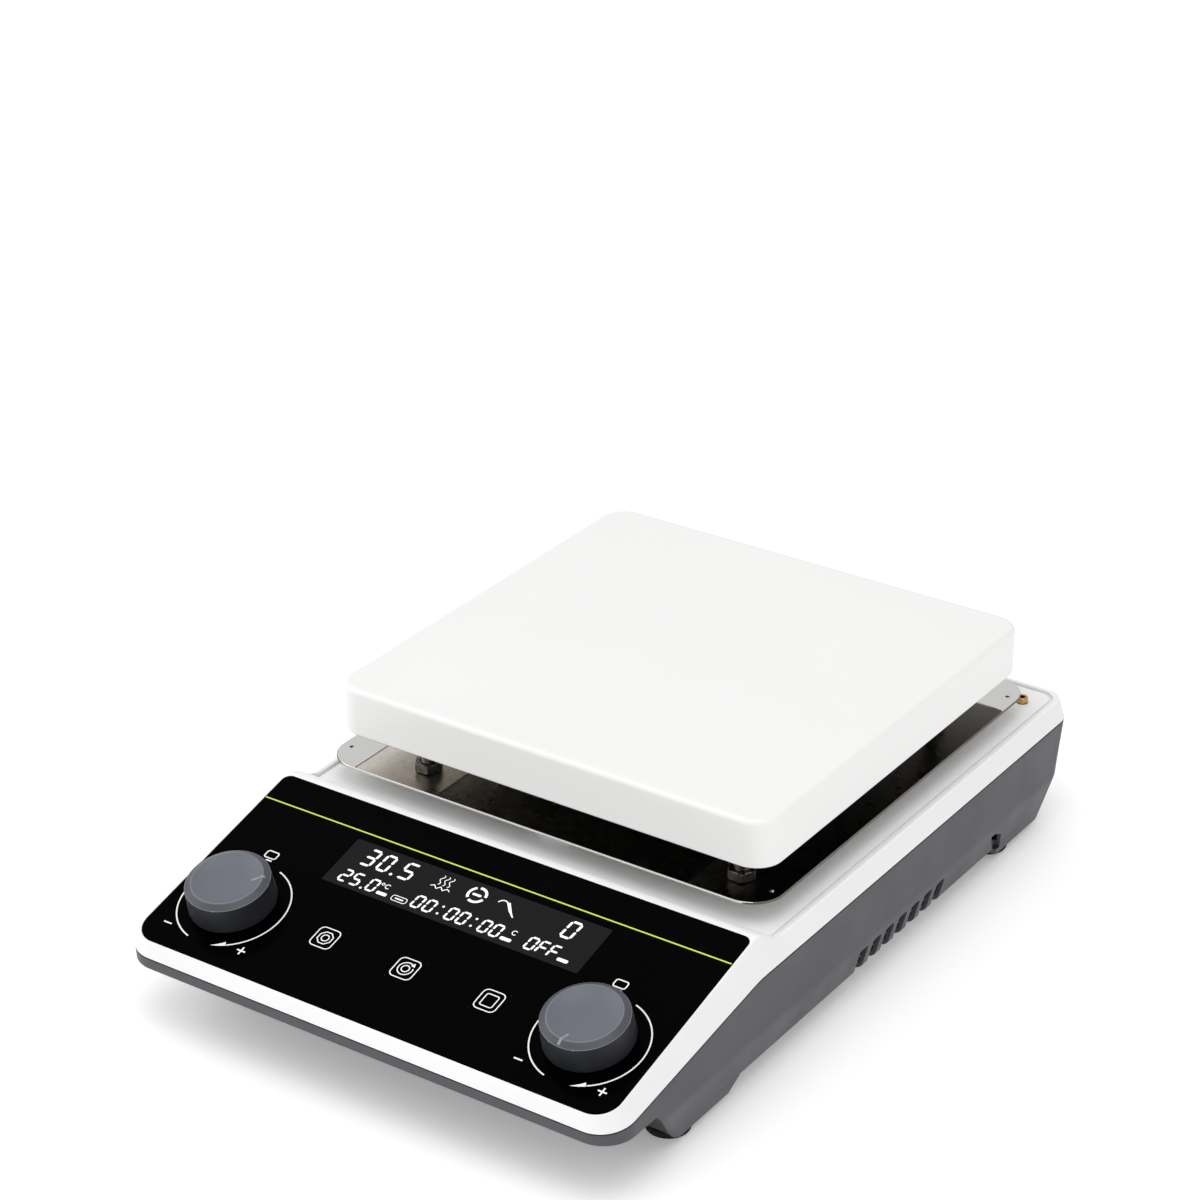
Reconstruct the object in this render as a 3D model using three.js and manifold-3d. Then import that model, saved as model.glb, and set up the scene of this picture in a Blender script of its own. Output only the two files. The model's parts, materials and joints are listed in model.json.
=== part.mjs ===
// Hotplate stirrer, built as an assembly of separate pieces.
// Millimetres, +X right, +Y to the rear, +Z up. Origin: on the surface it stands on,
// under the middle of the case.
import * as THREE from 'three';
import { mergeVertices } from 'three/addons/utils/BufferGeometryUtils.js';
import Module from 'manifold-3d';

const wasm = await Module();
wasm.setup();

// ---------------------------------------------------------------- driving dimensions
const CASE_HALF_W = 106.8;      // half width of the case at the seam
const FRONT = -162.5;           // front of the case at the seam
const REAR = 162.5;             // rear of the case at the seam
const CASE_R = 12.9;            // plan corner radius at the seam, front
const CASE_RR = 9.8;            // the same at the rear
const SEAM_FRONT_Z = 31.05;      // seam height at the front
const SEAM_REAR_Z = 46.4;       // seam height along the level part
const SEAM_KINK_Y = -72;        // where the sloping seam turns level
const TOP_HALF_W = 103.4;       // half width of the upper edge
const TOP_FRONT = -161.4;       // front of the upper edge
const TOP_REAR = 162.1;         // rear of the upper edge
const TOP_R = 10.6;
const TOP_RR = 7.4;
const PLATEAU_Z = 53.1;         // floor of the shallow tray under the plate
const RIM_Z = 53.9;             // rim around that tray
const WALL = 2.6;

const TILT = THREE.MathUtils.degToRad(14.6);   // slope of the control panel
const PANEL_Y0 = -160.5;        // lower edge of the panel
const PANEL_Z0 = 37.7;
const PANEL_Y1 = -70.8;         // upper edge of the panel
const PANEL_HALF_W = 102.4;
const PANEL_T = 1.2;

const PLATE = 190;              // side of the square plate
const PLATE_Y = 44.1;           // middle of the plate
const PLATE_TOP = 93.2;
const PLATE_T = 19.5;
const PLATE_R = 10.8;

const SHIELD_HALF_W = 97.5;
const SHIELD_FRONT = -55.7;
const SHIELD_REAR = 143.9;
const SHIELD_Z = 63.1;
const SHIELD_T = 1.0;
const SHIELD_R = 13.1;

const STANDOFF = 70;            // standoffs at +-70 from the plate's middle
const SOCKET_X = 91.5, SOCKET_Y = 147.8;         // threaded socket for a support rod
const KNOB_X = 77.3;
const KNOB_V = 28.2;            // knob centre, measured up the panel
const KNOB_R = 16.37;
const KEY_X = [-35.6, -0.6, 35.4];
const KEY_V = 28.4;
const KEY_SIZE = 12;
const LCD_W = 111.6;
const LCD_V0 = 52.3;
const LCD_V1 = 75.4;

const FLOOR_Z = 8;              // underside of the lower case
const CREASE_Z = 23;            // top of the chamfer around the lower case
const SEAM_GAP = 0.5;
const LIP_Z = 26.6;             // underside of the flange around the lower case
const FOOT_R = 8.3;
const FEET = [['foot_front_left', -91.8, -106.9], ['foot_front_right', 91.8, -106.9],
  ['foot_rear_left', -91.8, 122.8], ['foot_rear_right', 91.8, 122.8]];
const SCREWS = [['case_screw_front_left', -90, -67], ['case_screw_front_right', 90, -67],
  ['case_screw_rear_left', -90, 98], ['case_screw_rear_right', 90, 98]];
const VENTS = 7, VENT_PITCH = 9.52, VENT_Y0 = 3.1, VENT_W = 6.0;

const REAR_FACE = 159.3;        // flat of the recess that holds the rear sockets
const REAR_Z = 33;
const INLET_X = 60, SWITCH_X = 22, PROBE_X = -44;

// ---------------------------------------------------------------- helpers
const solid = (geo) => {
  let g = geo.index ? geo : geo;
  g.deleteAttribute('normal');
  g.deleteAttribute('uv');
  g = mergeVertices(g, 1e-4);
  return new wasm.Manifold(new wasm.Mesh({
    numProp: 3,
    vertProperties: new Float32Array(g.attributes.position.array),
    triVerts: new Uint32Array(g.index.array),
  }));
};
const geometry = (m) => {
  const mesh = m.getMesh();
  const g = new THREE.BufferGeometry();
  g.setAttribute('position', new THREE.BufferAttribute(new Float32Array(mesh.vertProperties), 3));
  g.setIndex(new THREE.BufferAttribute(new Uint32Array(mesh.triVerts), 1));
  g.computeVertexNormals();
  return g;
};
const box = (x0, x1, y0, y1, z0, z1) => {
  const g = new THREE.BoxGeometry(x1 - x0, y1 - y0, z1 - z0);
  g.translate((x0 + x1) / 2, (y0 + y1) / 2, (z0 + z1) / 2);
  return solid(g);
};
// cylinder along z
const cyl = (r, x, y, z0, z1, n = 24, r2 = r) => {
  const g = new THREE.CylinderGeometry(r2, r, z1 - z0, n, 1);
  g.rotateX(Math.PI / 2);
  g.translate(x, y, (z0 + z1) / 2);
  return solid(g);
};
// cylinder along y
const cylY = (r, x, z, y0, y1, n = 24) => {
  const g = new THREE.CylinderGeometry(r, r, y1 - y0, n, 1);
  g.translate(x, (y0 + y1) / 2, z);
  return solid(g);
};
const hex = (af, x, y, z0, z1) => cyl(af / Math.sqrt(3), x, y, z0, z1, 6);
const roundedShape = (x0, x1, y0, y1, r) => {
  const [a, b, c, d] = Array.isArray(r) ? r : [r, r, r, r];
  const s = new THREE.Shape();
  s.moveTo(x0 + a, y0);
  s.lineTo(x1 - b, y0);
  s.absarc(x1 - b, y0 + b, b, -Math.PI / 2, 0, false);
  s.lineTo(x1, y1 - c);
  s.absarc(x1 - c, y1 - c, c, 0, Math.PI / 2, false);
  s.lineTo(x0 + d, y1);
  s.absarc(x0 + d, y1 - d, d, Math.PI / 2, Math.PI, false);
  s.lineTo(x0, y0 + a);
  s.absarc(x0 + a, y0 + a, a, Math.PI, Math.PI * 1.5, false);
  return s;
};
const slab = (x0, x1, y0, y1, r, z0, z1, seg = 5) => {
  const g = new THREE.ExtrudeGeometry(roundedShape(x0, x1, y0, y1, r),
    { depth: z1 - z0, bevelEnabled: false, curveSegments: seg });
  g.translate(0, 0, z0);
  return solid(g);
};

// A ring is one closed outline, mirrored in x, listed as stations from front to rear.
const TOP_BREAKS = [-110, SEAM_KINK_Y, -70.8, -69, -67, -64.5, -61.5, -58.5, -56, -53, 50];
const LOW_BREAKS = [-105, SEAM_KINK_Y, 0, 75];
const HOLLOW_BREAKS = [SEAM_KINK_Y, -69, -56, 0];
const ring = (hw, yf, yr, r, z, breaks = LOW_BREAKS, n = 5, rf = r) => {
  const out = [];
  for (let i = 0; i <= n; i++) {
    const a = (Math.PI / 2) * (i / n);
    out.push([hw - rf + rf * Math.sin(a), yf + rf - rf * Math.cos(a)]);
  }
  for (const b of breaks) out.push([hw, b]);
  for (let i = 0; i <= n; i++) {
    const a = (Math.PI / 2) * (i / n);
    out.push([hw - r + r * Math.cos(a), yr - r + r * Math.sin(a)]);
  }
  return out.map(([x, y]) => [x, y, typeof z === 'function' ? z(y) : z]);
};
const loft = (rings) => {
  const n = rings[0].length;
  const pos = [], idx = [];
  const R = (k, i) => (k * n + i) * 2, L = (k, i) => (k * n + i) * 2 + 1;
  for (const r of rings) for (const [x, y, z] of r) pos.push(x, y, z, -x, y, z);
  const quad = (a, b, c, d) => idx.push(a, b, c, a, c, d);
  for (let k = 0; k < rings.length - 1; k++) {
    for (let i = 0; i < n - 1; i++) {
      quad(R(k, i), R(k, i + 1), R(k + 1, i + 1), R(k + 1, i));
      quad(L(k, i + 1), L(k, i), L(k + 1, i), L(k + 1, i + 1));
    }
    quad(L(k, 0), R(k, 0), R(k + 1, 0), L(k + 1, 0));
    quad(R(k, n - 1), L(k, n - 1), L(k + 1, n - 1), R(k + 1, n - 1));
  }
  const K = rings.length - 1;
  for (let i = 0; i < n - 1; i++) {
    quad(L(K, i), R(K, i), R(K, i + 1), L(K, i + 1));
    quad(R(0, i), L(0, i), L(0, i + 1), R(0, i + 1));
  }
  const g = new THREE.BufferGeometry();
  g.setAttribute('position', new THREE.BufferAttribute(new Float32Array(pos), 3));
  g.setIndex(idx);
  return solid(g);
};

const seamZ = (y) => SEAM_FRONT_Z + (SEAM_REAR_Z - SEAM_FRONT_Z) * Math.min(1, Math.max(0, (y - FRONT) / (SEAM_KINK_Y - FRONT)));
const slopeZ = (y) => PANEL_Z0 + Math.tan(TILT) * (y - PANEL_Y0);
// side profile of the case top: slope, crest behind the panel, fall to the tray
const CREST = [[-70.8, 61.06], [-69, 61.2], [-67, 60.9], [-64.5, 59.7], [-61.5, 57.7], [-58.5, 55.7], [-56, 54.5], [-53, 53.95]];
const topZ = (y) => {
  if (y <= PANEL_Y1) return slopeZ(y);
  for (let i = 1; i < CREST.length; i++) {
    if (y <= CREST[i][0]) {
      const [y0, z0] = CREST[i - 1], [y1, z1] = CREST[i];
      return z0 + (z1 - z0) * (y - y0) / (y1 - y0);
    }
  }
  return RIM_Z;
};

const group = new THREE.Group();
const panel = new THREE.Group();          // tilted frame: x along the panel, y up the slope, z out of it
panel.position.set(0, PANEL_Y0, PANEL_Z0);
panel.rotation.x = TILT;
group.add(panel);
panel.updateMatrix();
const fromPanel = (m) => {                 // a panel-frame solid brought into the case's frame
  const g = geometry(m);
  g.applyMatrix4(panel.matrix);
  return solid(g);
};

const MAT = {
  case_white: [0xf2f3f3, 0.45, 0], case_grey: [0x5c5d62, 0.55, 0], plate_white: [0xf4f3f1, 0.35, 0],
  steel: [0xc9c9c6, 0.12, 1], zinc: [0xb4b6b8, 0.35, 1], brass: [0xb98a3c, 0.3, 1], rubber: [0x151515, 0.85, 0],
  panel_black: [0x060607, 0.12, 0], window: [0x1d1e20, 0.08, 0], knob_grey: [0x5b5e68, 0.5, 0], board_green: [0x1d5a38, 0.5, 0],
  black_plastic: [0x17181a, 0.5, 0], mica: [0x9a8f78, 0.7, 0], wool: [0xd8d2c2, 0.95, 0], magnet: [0x8d8f93, 0.3, 1], black_metal: [0x1b1a19, 0.6, 0.2],
};
const add = (name, m, mat, parent = group) => {
  const [color, roughness, metalness] = MAT[mat];
  const mesh = new THREE.Mesh(geometry(m), new THREE.MeshStandardMaterial({ color, roughness, metalness }));
  mesh.name = name;
  parent.add(mesh);
  return mesh;
};

// ---------------------------------------------------------------- top case
{
  let body = loft([
    ring(CASE_HALF_W, FRONT, REAR, CASE_RR, seamZ, TOP_BREAKS, 5, CASE_R),
    ring(TOP_HALF_W, TOP_FRONT, TOP_REAR, TOP_RR, topZ, TOP_BREAKS, 5, TOP_R),
  ]);
  // the tray under the plate
  body = body.subtract(slab(-101.2, 101.2, -61, 159.9, [5, 5, 6.5, 6.5], PLATEAU_Z, 58));
  // hollow
  body = body.subtract(loft([
    ring(CASE_HALF_W - WALL, FRONT + WALL, REAR - WALL, CASE_RR - WALL, (y) => seamZ(y) - 1, HOLLOW_BREAKS, 3, CASE_R - WALL),
    ring(TOP_HALF_W - WALL, TOP_FRONT + WALL, TOP_REAR - WALL, TOP_RR - WALL, (y) => (y < -69 ? slopeZ(y) : y > -56 ? PLATEAU_Z : 61 - (y + 69) * 7.9 / 13) - 2.9, HOLLOW_BREAKS, 3, TOP_R - WALL),
  ]));
  // low pad in front of the well, just under the shield's front edge
  body = body.add(slab(-10, 9, -44.4, -22, [6, 6, 2, 2], PLATEAU_Z - 1, PLATEAU_Z + 3.2, 4));
  // screw bosses
  for (const [, x, y] of SCREWS) {
    const top = y < 0 ? 55.6 : 52;
    body = body.add(cyl(4.4, x, y, 11.2, top, 16)).subtract(cyl(2.0, x, y, 10, 33, 12));
  }
  // posts that carry the display board
  let posts = null;
  for (const [u, v] of [[-88, 40], [88, 40], [-88, 78], [88, 78]]) {
    const p = cyl(2.6, u, v, -9.15, -2.0, 10);
    posts = posts ? posts.add(p) : p;
  }
  body = body.add(fromPanel(posts));
  // panel recess, window, keys and shafts
  const cuts = [
    slab(-102.65, 102.65, -0.25, 92.95, [9.2, 9.2, 3.6, 3.6], -1.4, 3, 5),
    slab(-54.5, 54.5, LCD_V0 + 1.2, LCD_V1 - 1.2, 1, -12, 3, 2),
    cyl(4.5, -KNOB_X, KNOB_V, -12, 3, 20), cyl(4.5, KNOB_X, KNOB_V, -12, 3, 20),
    ...KEY_X.map((u) => slab(u - 5.3, u + 5.3, KEY_V - 5.3, KEY_V + 5.3, 2, -12, 3, 2)),
  ];
  for (const c of cuts) body = body.subtract(fromPanel(c));
  // well for the magnet rotor
  body = body.subtract(cyl(42, 0, PLATE_Y, 40, 60, 48));
  // standoff studs and rod socket
  for (const sx of [-1, 1]) for (const sy of [-1, 1]) body = body.subtract(cyl(3.3, sx * STANDOFF, PLATE_Y + sy * STANDOFF, 40, 60, 12));
  body = body.subtract(cyl(2.4, SOCKET_X, SOCKET_Y, 40, 60, 16));
  add('top_case', body, 'case_white');
}

// ---------------------------------------------------------------- control panel
{
  let overlay = slab(-PANEL_HALF_W, PANEL_HALF_W, 0, 92.7, [9, 9, 3.4, 3.4], -1.1, 0.1, 5);
  overlay = overlay.subtract(slab(-LCD_W / 2 - 0.25, LCD_W / 2 + 0.25, LCD_V0 - 0.25, LCD_V1 + 0.25, 0.8, -3, 3, 2));
  for (const u of KEY_X) overlay = overlay.subtract(slab(u - KEY_SIZE / 2 - 0.25, u + KEY_SIZE / 2 + 0.25, KEY_V - KEY_SIZE / 2 - 0.25, KEY_V + KEY_SIZE / 2 + 0.25, 2.4, -3, 3, 4));
  for (const s of [-1, 1]) overlay = overlay.subtract(cyl(6.9, s * KNOB_X, KNOB_V, -3, 3, 20));
  add('control_panel', overlay, 'panel_black', panel);
  add('lcd_window', slab(-LCD_W / 2, LCD_W / 2, LCD_V0, LCD_V1, 0.6, -1.1, 0.1, 2), 'window', panel);
  add('lcd_module', box(-58, 58, 50.8, 76.9, -9.2, -3.5).subtract(box(-52, 52, 54.5, 73.2, -4.3, -3)), 'black_plastic', panel);

  let board = box(-92, 92, 26.5, 82, -11.1, -9.5);
  for (const u of [-88, 88]) for (const v of [40, 78]) board = board.subtract(cyl(1.4, u, v, -13, -8, 10));
  // driver chips on the rear of the board
  board = board.add(box(-30, -16, 56, 70, -13, -11)).add(box(10, 34, 58, 68, -13.4, -11));
  add('display_board', board, 'board_green', panel);

  KEY_X.forEach((u, i) => {
    const h = KEY_SIZE / 2;
    let key = slab(u - h, u + h, KEY_V - h, KEY_V + h, 2.2, -0.9, 0.1, 4);
    key = key.add(slab(u - 4.9, u + 4.9, KEY_V - 4.9, KEY_V + 4.9, 1.8, -6.3, -0.6, 2));
    add(['key_program', 'key_reverse', 'key_start'][i], key, 'panel_black', panel);
    const sw = box(u - 3, u + 3, KEY_V - 3, KEY_V + 3, -9.2, -7.9).add(cyl(1.7, u, KEY_V, -8, -7.05, 12));
    add(['key_switch_program', 'key_switch_reverse', 'key_switch_start'][i], sw, 'black_plastic', panel);
  });

  for (const [side, s] of [['left', -1], ['right', 1]]) {
    const x = s * KNOB_X, v = KNOB_V;
    let body = box(x - 6.2, x + 6.2, v - 6, v + 6.4, -9.2, -3.3).add(cyl(4.2, x, v, -4, 0.9, 20));
    body = body.subtract(cyl(3.2, x, v, -8, 3, 16));
    add(`${side}_encoder_body`, body, 'zinc', panel);
    add(`${side}_encoder_nut`, hex(10.4, x, v, -1.1, 0.8).subtract(cyl(4.5, x, v, -3, 3, 20)), 'zinc', panel);
    add(`${side}_encoder_plunger`, cyl(2.6, x, v, -6.1, -4.2, 14), 'black_plastic', panel);
    add(`${side}_encoder_shaft`, cyl(2.9, x, v, -3.9, 9.0, 16), 'zinc', panel);
    // knob: skirt, bevelled rim, dished face, with a hub bored for the shaft
    const prof = [[13.9, 1.3], [16.1, 1.3], [KNOB_R, 1.6], [15.9, 11.2], [15.45, 11.65], [13.35, 12.9], [12.75, 12.9], [10.5, 12.1], [7, 11.5], [0, 11.3],
      [0, 9.3], [3.2, 9.3], [3.2, 2.0], [5.2, 2.0], [5.2, 9.0], [13.4, 9.0], [13.9, 1.3]];
    const lg = new THREE.LatheGeometry(prof.map(([r, z]) => new THREE.Vector2(r, z)), 28);
    lg.rotateX(Math.PI / 2);
    lg.translate(x, v, 0);
    add(`knob_${side}`, solid(lg), 'knob_grey', panel);
  }
}

// ---------------------------------------------------------------- heating plate and shield
{
  const h = PLATE / 2, z0 = PLATE_TOP - PLATE_T;
  const sq = (d, r, z, n = 6) => {
    const out = [];
    for (let q = 0; q < 4; q++) {
      const sx = [1, -1, -1, 1][q], sy = [1, 1, -1, -1][q];
      for (let i = 0; i <= n; i++) {
        const a = (Math.PI / 2) * (q + i / n);
        out.push([sx * (h - d - r) + r * Math.cos(a), PLATE_Y + sy * (h - d - r) + r * Math.sin(a), z]);
      }
    }
    return out;
  };
  const rings = [sq(0.6, PLATE_R - 0.6, z0), sq(0, PLATE_R, z0 + 0.6), sq(0, PLATE_R, PLATE_TOP - 1.4), sq(0.4, PLATE_R - 0.4, PLATE_TOP - 0.4), sq(1.4, PLATE_R - 1.4, PLATE_TOP)];
  const n = rings[0].length, pos = [], idx = [];
  for (const r of rings) for (const p of r) pos.push(...p);
  for (let k = 0; k < rings.length - 1; k++) for (let i = 0; i < n; i++) {
    const j = (i + 1) % n, a = k * n + i, b = k * n + j, c = (k + 1) * n + j, d = (k + 1) * n + i;
    idx.push(a, b, c, a, c, d);
  }
  pos.push(0, PLATE_Y, z0, 0, PLATE_Y, PLATE_TOP);
  const c0 = rings.length * n, c1 = c0 + 1, top = (rings.length - 1) * n;
  for (let i = 0; i < n; i++) {
    const j = (i + 1) % n;
    idx.push(c0, j, i, c1, top + i, top + j);
  }
  const g = new THREE.BufferGeometry();
  g.setAttribute('position', new THREE.BufferAttribute(new Float32Array(pos), 3));
  g.setIndex(idx);
  let plate = solid(g);
  plate = plate.subtract(slab(-56, 56, PLATE_Y - 88, PLATE_Y + 88, 4, z0 - 1, z0 + 12.5, 3));
  for (const sx of [-1, 1]) for (const sy of [-1, 1]) plate = plate.subtract(cyl(3.3, sx * STANDOFF, PLATE_Y + sy * STANDOFF, z0 - 1, z0 + 9, 12));
  plate = plate.subtract(cylY(1.9, 30, z0 + 15.5, PLATE_Y - 2, PLATE_Y + 100, 10));
  add('top_plate', plate, 'plate_white');

  const zc = z0 + 12.5;
  add('heating_element', slab(-54, 54, PLATE_Y - 85, PLATE_Y + 85, 3, zc - 2.3, zc - 0.4, 3), 'mica');
  add('insulation_pad', slab(-54.5, 54.5, PLATE_Y - 86, PLATE_Y + 86, 3, z0 + 1.6, zc - 2.7, 3), 'wool');
  add('plate_bottom_cover', slab(-55.5, 55.5, PLATE_Y - 87.5, PLATE_Y + 87.5, 3.6, z0 + 0.1, z0 + 1.2, 3), 'black_metal');
  add('plate_sensor', cylY(1.5, 30, z0 + 15.5, PLATE_Y + 20, PLATE_Y + 96.5, 10), 'zinc');

  let shield = slab(-SHIELD_HALF_W, SHIELD_HALF_W, SHIELD_FRONT, SHIELD_REAR, SHIELD_R, SHIELD_Z - SHIELD_T, SHIELD_Z, 6);
  for (const sx of [-1, 1]) for (const sy of [-1, 1]) {
    const x = sx * STANDOFF, y = PLATE_Y + sy * STANDOFF;
    shield = shield.subtract(cyl(3.4, x, y, 55, 70, 10)).subtract(cyl(0.9, sx * 93.1, PLATE_Y + sy * 87.4, 55, 70, 8));
    const tag = `${sy < 0 ? 'front' : 'rear'}_${sx < 0 ? 'left' : 'right'}`;
    // threaded rod with a hexagonal spacer that carries the shield
    add(`standoff_${tag}`, cyl(3, x, y, 47, z0 + 8.5, 12).add(hex(11, x, y, PLATEAU_Z + 0.3, SHIELD_Z - SHIELD_T - 0.3)), 'zinc');
    add(`standoff_nut_${tag}`, hex(10, x, y, z0 - 4.3, z0 - 0.3).subtract(cyl(3.4, x, y, 60, 80, 12)), 'zinc');
  }
  add('heat_shield', shield, 'steel');
  add('rod_socket', cyl(2.1, SOCKET_X, SOCKET_Y, 45, PLATEAU_Z + 3.0, 16).add(hex(4.8, SOCKET_X, SOCKET_Y, PLATEAU_Z + 0.3, PLATEAU_Z + 3.2)).subtract(cyl(1.25, SOCKET_X, SOCKET_Y, 47, 60, 12)), 'brass');
}

// ---------------------------------------------------------------- lower case
{
  let body = loft([
    ring(106.4, FRONT + 0.4, 160.7, 12.3, LIP_Z, LOW_BREAKS, 5, CASE_R - 0.4),
    ring(CASE_HALF_W - 0.1, FRONT + 0.1, REAR - 0.1, CASE_RR - 0.1, (y) => seamZ(y) - SEAM_GAP, LOW_BREAKS, 5, CASE_R - 0.1),
  ]);
  // tub: floor edge, chamfer, crease, wall
  body = body.add(loft([
    ring(100.9, -120.2, 153.2, 7.6, FLOOR_Z, LOW_BREAKS, 5, 3),
    ring(102.85, -121.6, 155.05, 8.9, 9.5, LOW_BREAKS, 5, 3),
    ring(106.4, -132.7, 160.4, 12.6, CREASE_Z, LOW_BREAKS, 5, 2.2),
    ring(106.4, -136.5, 160.7, 12.3, LIP_Z, LOW_BREAKS, 5, 2.2),
    ring(CASE_HALF_W - 0.1, -136.5, REAR - 0.1, CASE_RR - 0.1, (y) => seamZ(y) - SEAM_GAP, LOW_BREAKS, 5, 2.2),
  ]));
  // foot pods under the corners, their outer faces in the plane of the chamfer
  const under = loft([
    ring(101.27, -115.8, 152.7, 7.4, 3.5, LOW_BREAKS, 5, 3),
    ring(102.85, -121.6, 155.05, 8.9, 9.5, LOW_BREAKS, 5, 3),
    ring(102.4, -121.2, 154.6, 8.5, 12, LOW_BREAKS, 5, 3),
  ]);
  // a side profile (y, z) carried from x = a to x = b
  const alongX = (pts, a, b) => {
    const sh = new THREE.Shape(pts.map(([y, z]) => new THREE.Vector2(y, z)));
    const g = new THREE.ExtrudeGeometry(sh, { depth: b - a, bevelEnabled: false });
    g.applyMatrix4(new THREE.Matrix4().set(0, 0, 1, a, 1, 0, 0, 0, 0, 1, 0, 0, 0, 0, 0, 1));
    return solid(g);
  };
  for (const s of [-1, 1]) {
    const [a, b] = s < 0 ? [-108, -80] : [80, 108];
    body = body.add(under.intersect(alongX([[-125, 12], [-125, 3], [-84, 3], [-75.75, 12]], a, b)));
    body = body.add(under.intersect(alongX([[108.5, 12], [113.5, 3], [160, 3], [160, 12]], a, b)));
  }
  // hollow
  body = body.subtract(loft([
    ring(101.5, -119.6, 152.6, 6.8, FLOOR_Z + 2.5, LOW_BREAKS, 5, 2),
    ring(104.8, -130.0, 157.8, 10.4, CREASE_Z + 0.4, LOW_BREAKS, 5, 1.6),
    ring(104.2, -134.2, 159.7, 7.2, (y) => seamZ(y) + 1, LOW_BREAKS, 5, 1.6),
  ]));
  body = body.subtract(loft([
    ring(104.2, FRONT + 2.7, REAR - 2.8, 7.2, LIP_Z + 2, LOW_BREAKS, 5, 10.2),
    ring(104.2, FRONT + 2.7, REAR - 2.8, 7.2, (y) => seamZ(y) + 1, LOW_BREAKS, 5, 10.2),
  ]));
  // vents: slots through the chamfer on both sides, their upper corners cut off
  for (const s of [-1, 1]) {
    const [a, b] = s < 0 ? [-110, -99.6] : [99.6, 110];
    for (let i = 0; i < VENTS; i++) {
      const y0 = VENT_Y0 + i * VENT_PITCH - VENT_W / 2, y1 = y0 + VENT_W;
      body = body.subtract(alongX([[y0, FLOOR_Z - 1], [y1, FLOOR_Z - 1], [y1, 18.5], [y1 - 1.2, 19.7], [y0 + 1.2, 19.7], [y0, 18.5]], a, b));
    }
    // slanting notch in front of the rear pod
    const [c, d] = s < 0 ? [-110, -100.2] : [100.2, 110];
    body = body.subtract(alongX([[107.9, FLOOR_Z - 1], [114, FLOOR_Z - 1], [110.4, 15.2], [103.9, 18.7], [100.5, 18.9]], c, d));
  }
  // flat recess at the rear for the sockets
  body = body.add(box(-70, 84, 156.7, 160.3, 23.2, 45.5)).subtract(box(-66, 80, REAR_FACE, 170, 20.9, 45.1));
  body = body.subtract(box(INLET_X - 13.9, INLET_X + 13.9, 140, 170, REAR_Z - 10.2, REAR_Z + 10.2));
  body = body.subtract(box(SWITCH_X - 6.9, SWITCH_X + 6.9, 140, 170, REAR_Z - 10.2, REAR_Z + 10.2));
  body = body.subtract(cylY(6.3, PROBE_X, REAR_Z, 140, 170, 24));
  // feet and screws
  // sockets that take the feet, the front ones open to the front
  for (const [, x, y] of FEET) body = body.subtract(cyl(7.8, x, y, 0, 9, 24));
  for (const s of [-1, 1]) body = body.subtract(box(s < 0 ? -99.6 : 84, s < 0 ? -84 : 99.6, -130, -106.9, 0, 9));
  for (const [, x, y] of SCREWS) body = body.subtract(cyl(2.3, x, y, 0, 20, 14));
  // pillars for the motor bracket and the main board
  for (const [x, y] of [[-40, 20], [40, 20], [-40, 68], [40, 68]]) body = body.add(cyl(3.4, x, y, 10, 14.2, 12));
  for (const [x, y] of [[-92, -30], [-58, -30], [-92, 60], [-58, 60]]) body = body.add(cyl(2.4, x, y, 10, 15.2, 10));
  add('bottom_case', body, 'case_grey');
  for (const [name, x, y] of FEET) {
    const f = cyl(FOOT_R - 0.6, x, y, 0, 0.6, 20, FOOT_R).add(cyl(FOOT_R, x, y, 0.6, 3.2, 20)).add(cyl(7.4, x, y, 3, 8.6, 20));
    add(name, f, 'rubber');
  }
  for (const [name, x, y] of SCREWS) {
    const head = cyl(3.4, x, y, 5.4, 7.7, 16).subtract(box(x - 2.2, x + 2.2, y - 0.4, y + 0.4, 5, 6.4)).subtract(box(x - 0.4, x + 0.4, y - 2.2, y + 2.2, 5, 6.4));
    add(name, head.add(cyl(1.6, x, y, 7.5, 29, 10)), 'zinc');
  }
}

// ---------------------------------------------------------------- stirring drive
{
  const y = PLATE_Y;
  let motor = cyl(26, 0, y, 17, 42, 36).add(cyl(8, 0, y, 42, 44.6, 20)).add(cyl(10, 0, y, 13.5, 17, 20));
  motor = motor.subtract(cyl(2.8, 0, y, 24, 50, 16));
  add('stirring_motor', motor, 'zinc');
  // bridge over the motor, standing on four pillars
  let br = box(-46, 46, y - 28, y + 28, 42.3, 43.9).add(box(-46, -44.4, y - 28, y + 28, 14.5, 43.9)).add(box(44.4, 46, y - 28, y + 28, 14.5, 43.9));
  br = br.add(box(-46, -35, y - 28, y + 28, 14.5, 16.1)).add(box(35, 46, y - 28, y + 28, 14.5, 16.1));
  br = br.subtract(cyl(8.4, 0, y, 35, 50, 20));
  add('motor_bracket', br, 'zinc');
  add('motor_shaft', cyl(2.5, 0, y, 24.5, 56.5, 16), 'zinc');
  let yoke = slab(-33, 33, y - 11, y + 11, 10.5, 49.5, 52.5, 6).add(cyl(6, 0, y, 46.5, 50, 20)).subtract(cyl(2.8, 0, y, 40, 60, 16));
  add('magnet_yoke', yoke, 'zinc');
  for (const [name, x] of [['magnet_left', -22], ['magnet_right', 22]]) add(name, cyl(9, x, y, 52.8, 60.6, 24), 'magnet');
}

// ---------------------------------------------------------------- main board
{
  let b = box(-96, -54, -36, 66, 15.5, 17.1);
  b = b.add(box(-92, -62, -30, -6, 17, 36)).add(box(-90, -78, 6, 22, 17, 32)).add(cyl(6, -66, 10, 17, 36, 16)).add(box(-94, -60, 34, 37, 17, 38)).add(box(-92, -70, 46, 58, 17, 27));
  add('main_board', b, 'board_green');
}

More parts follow.
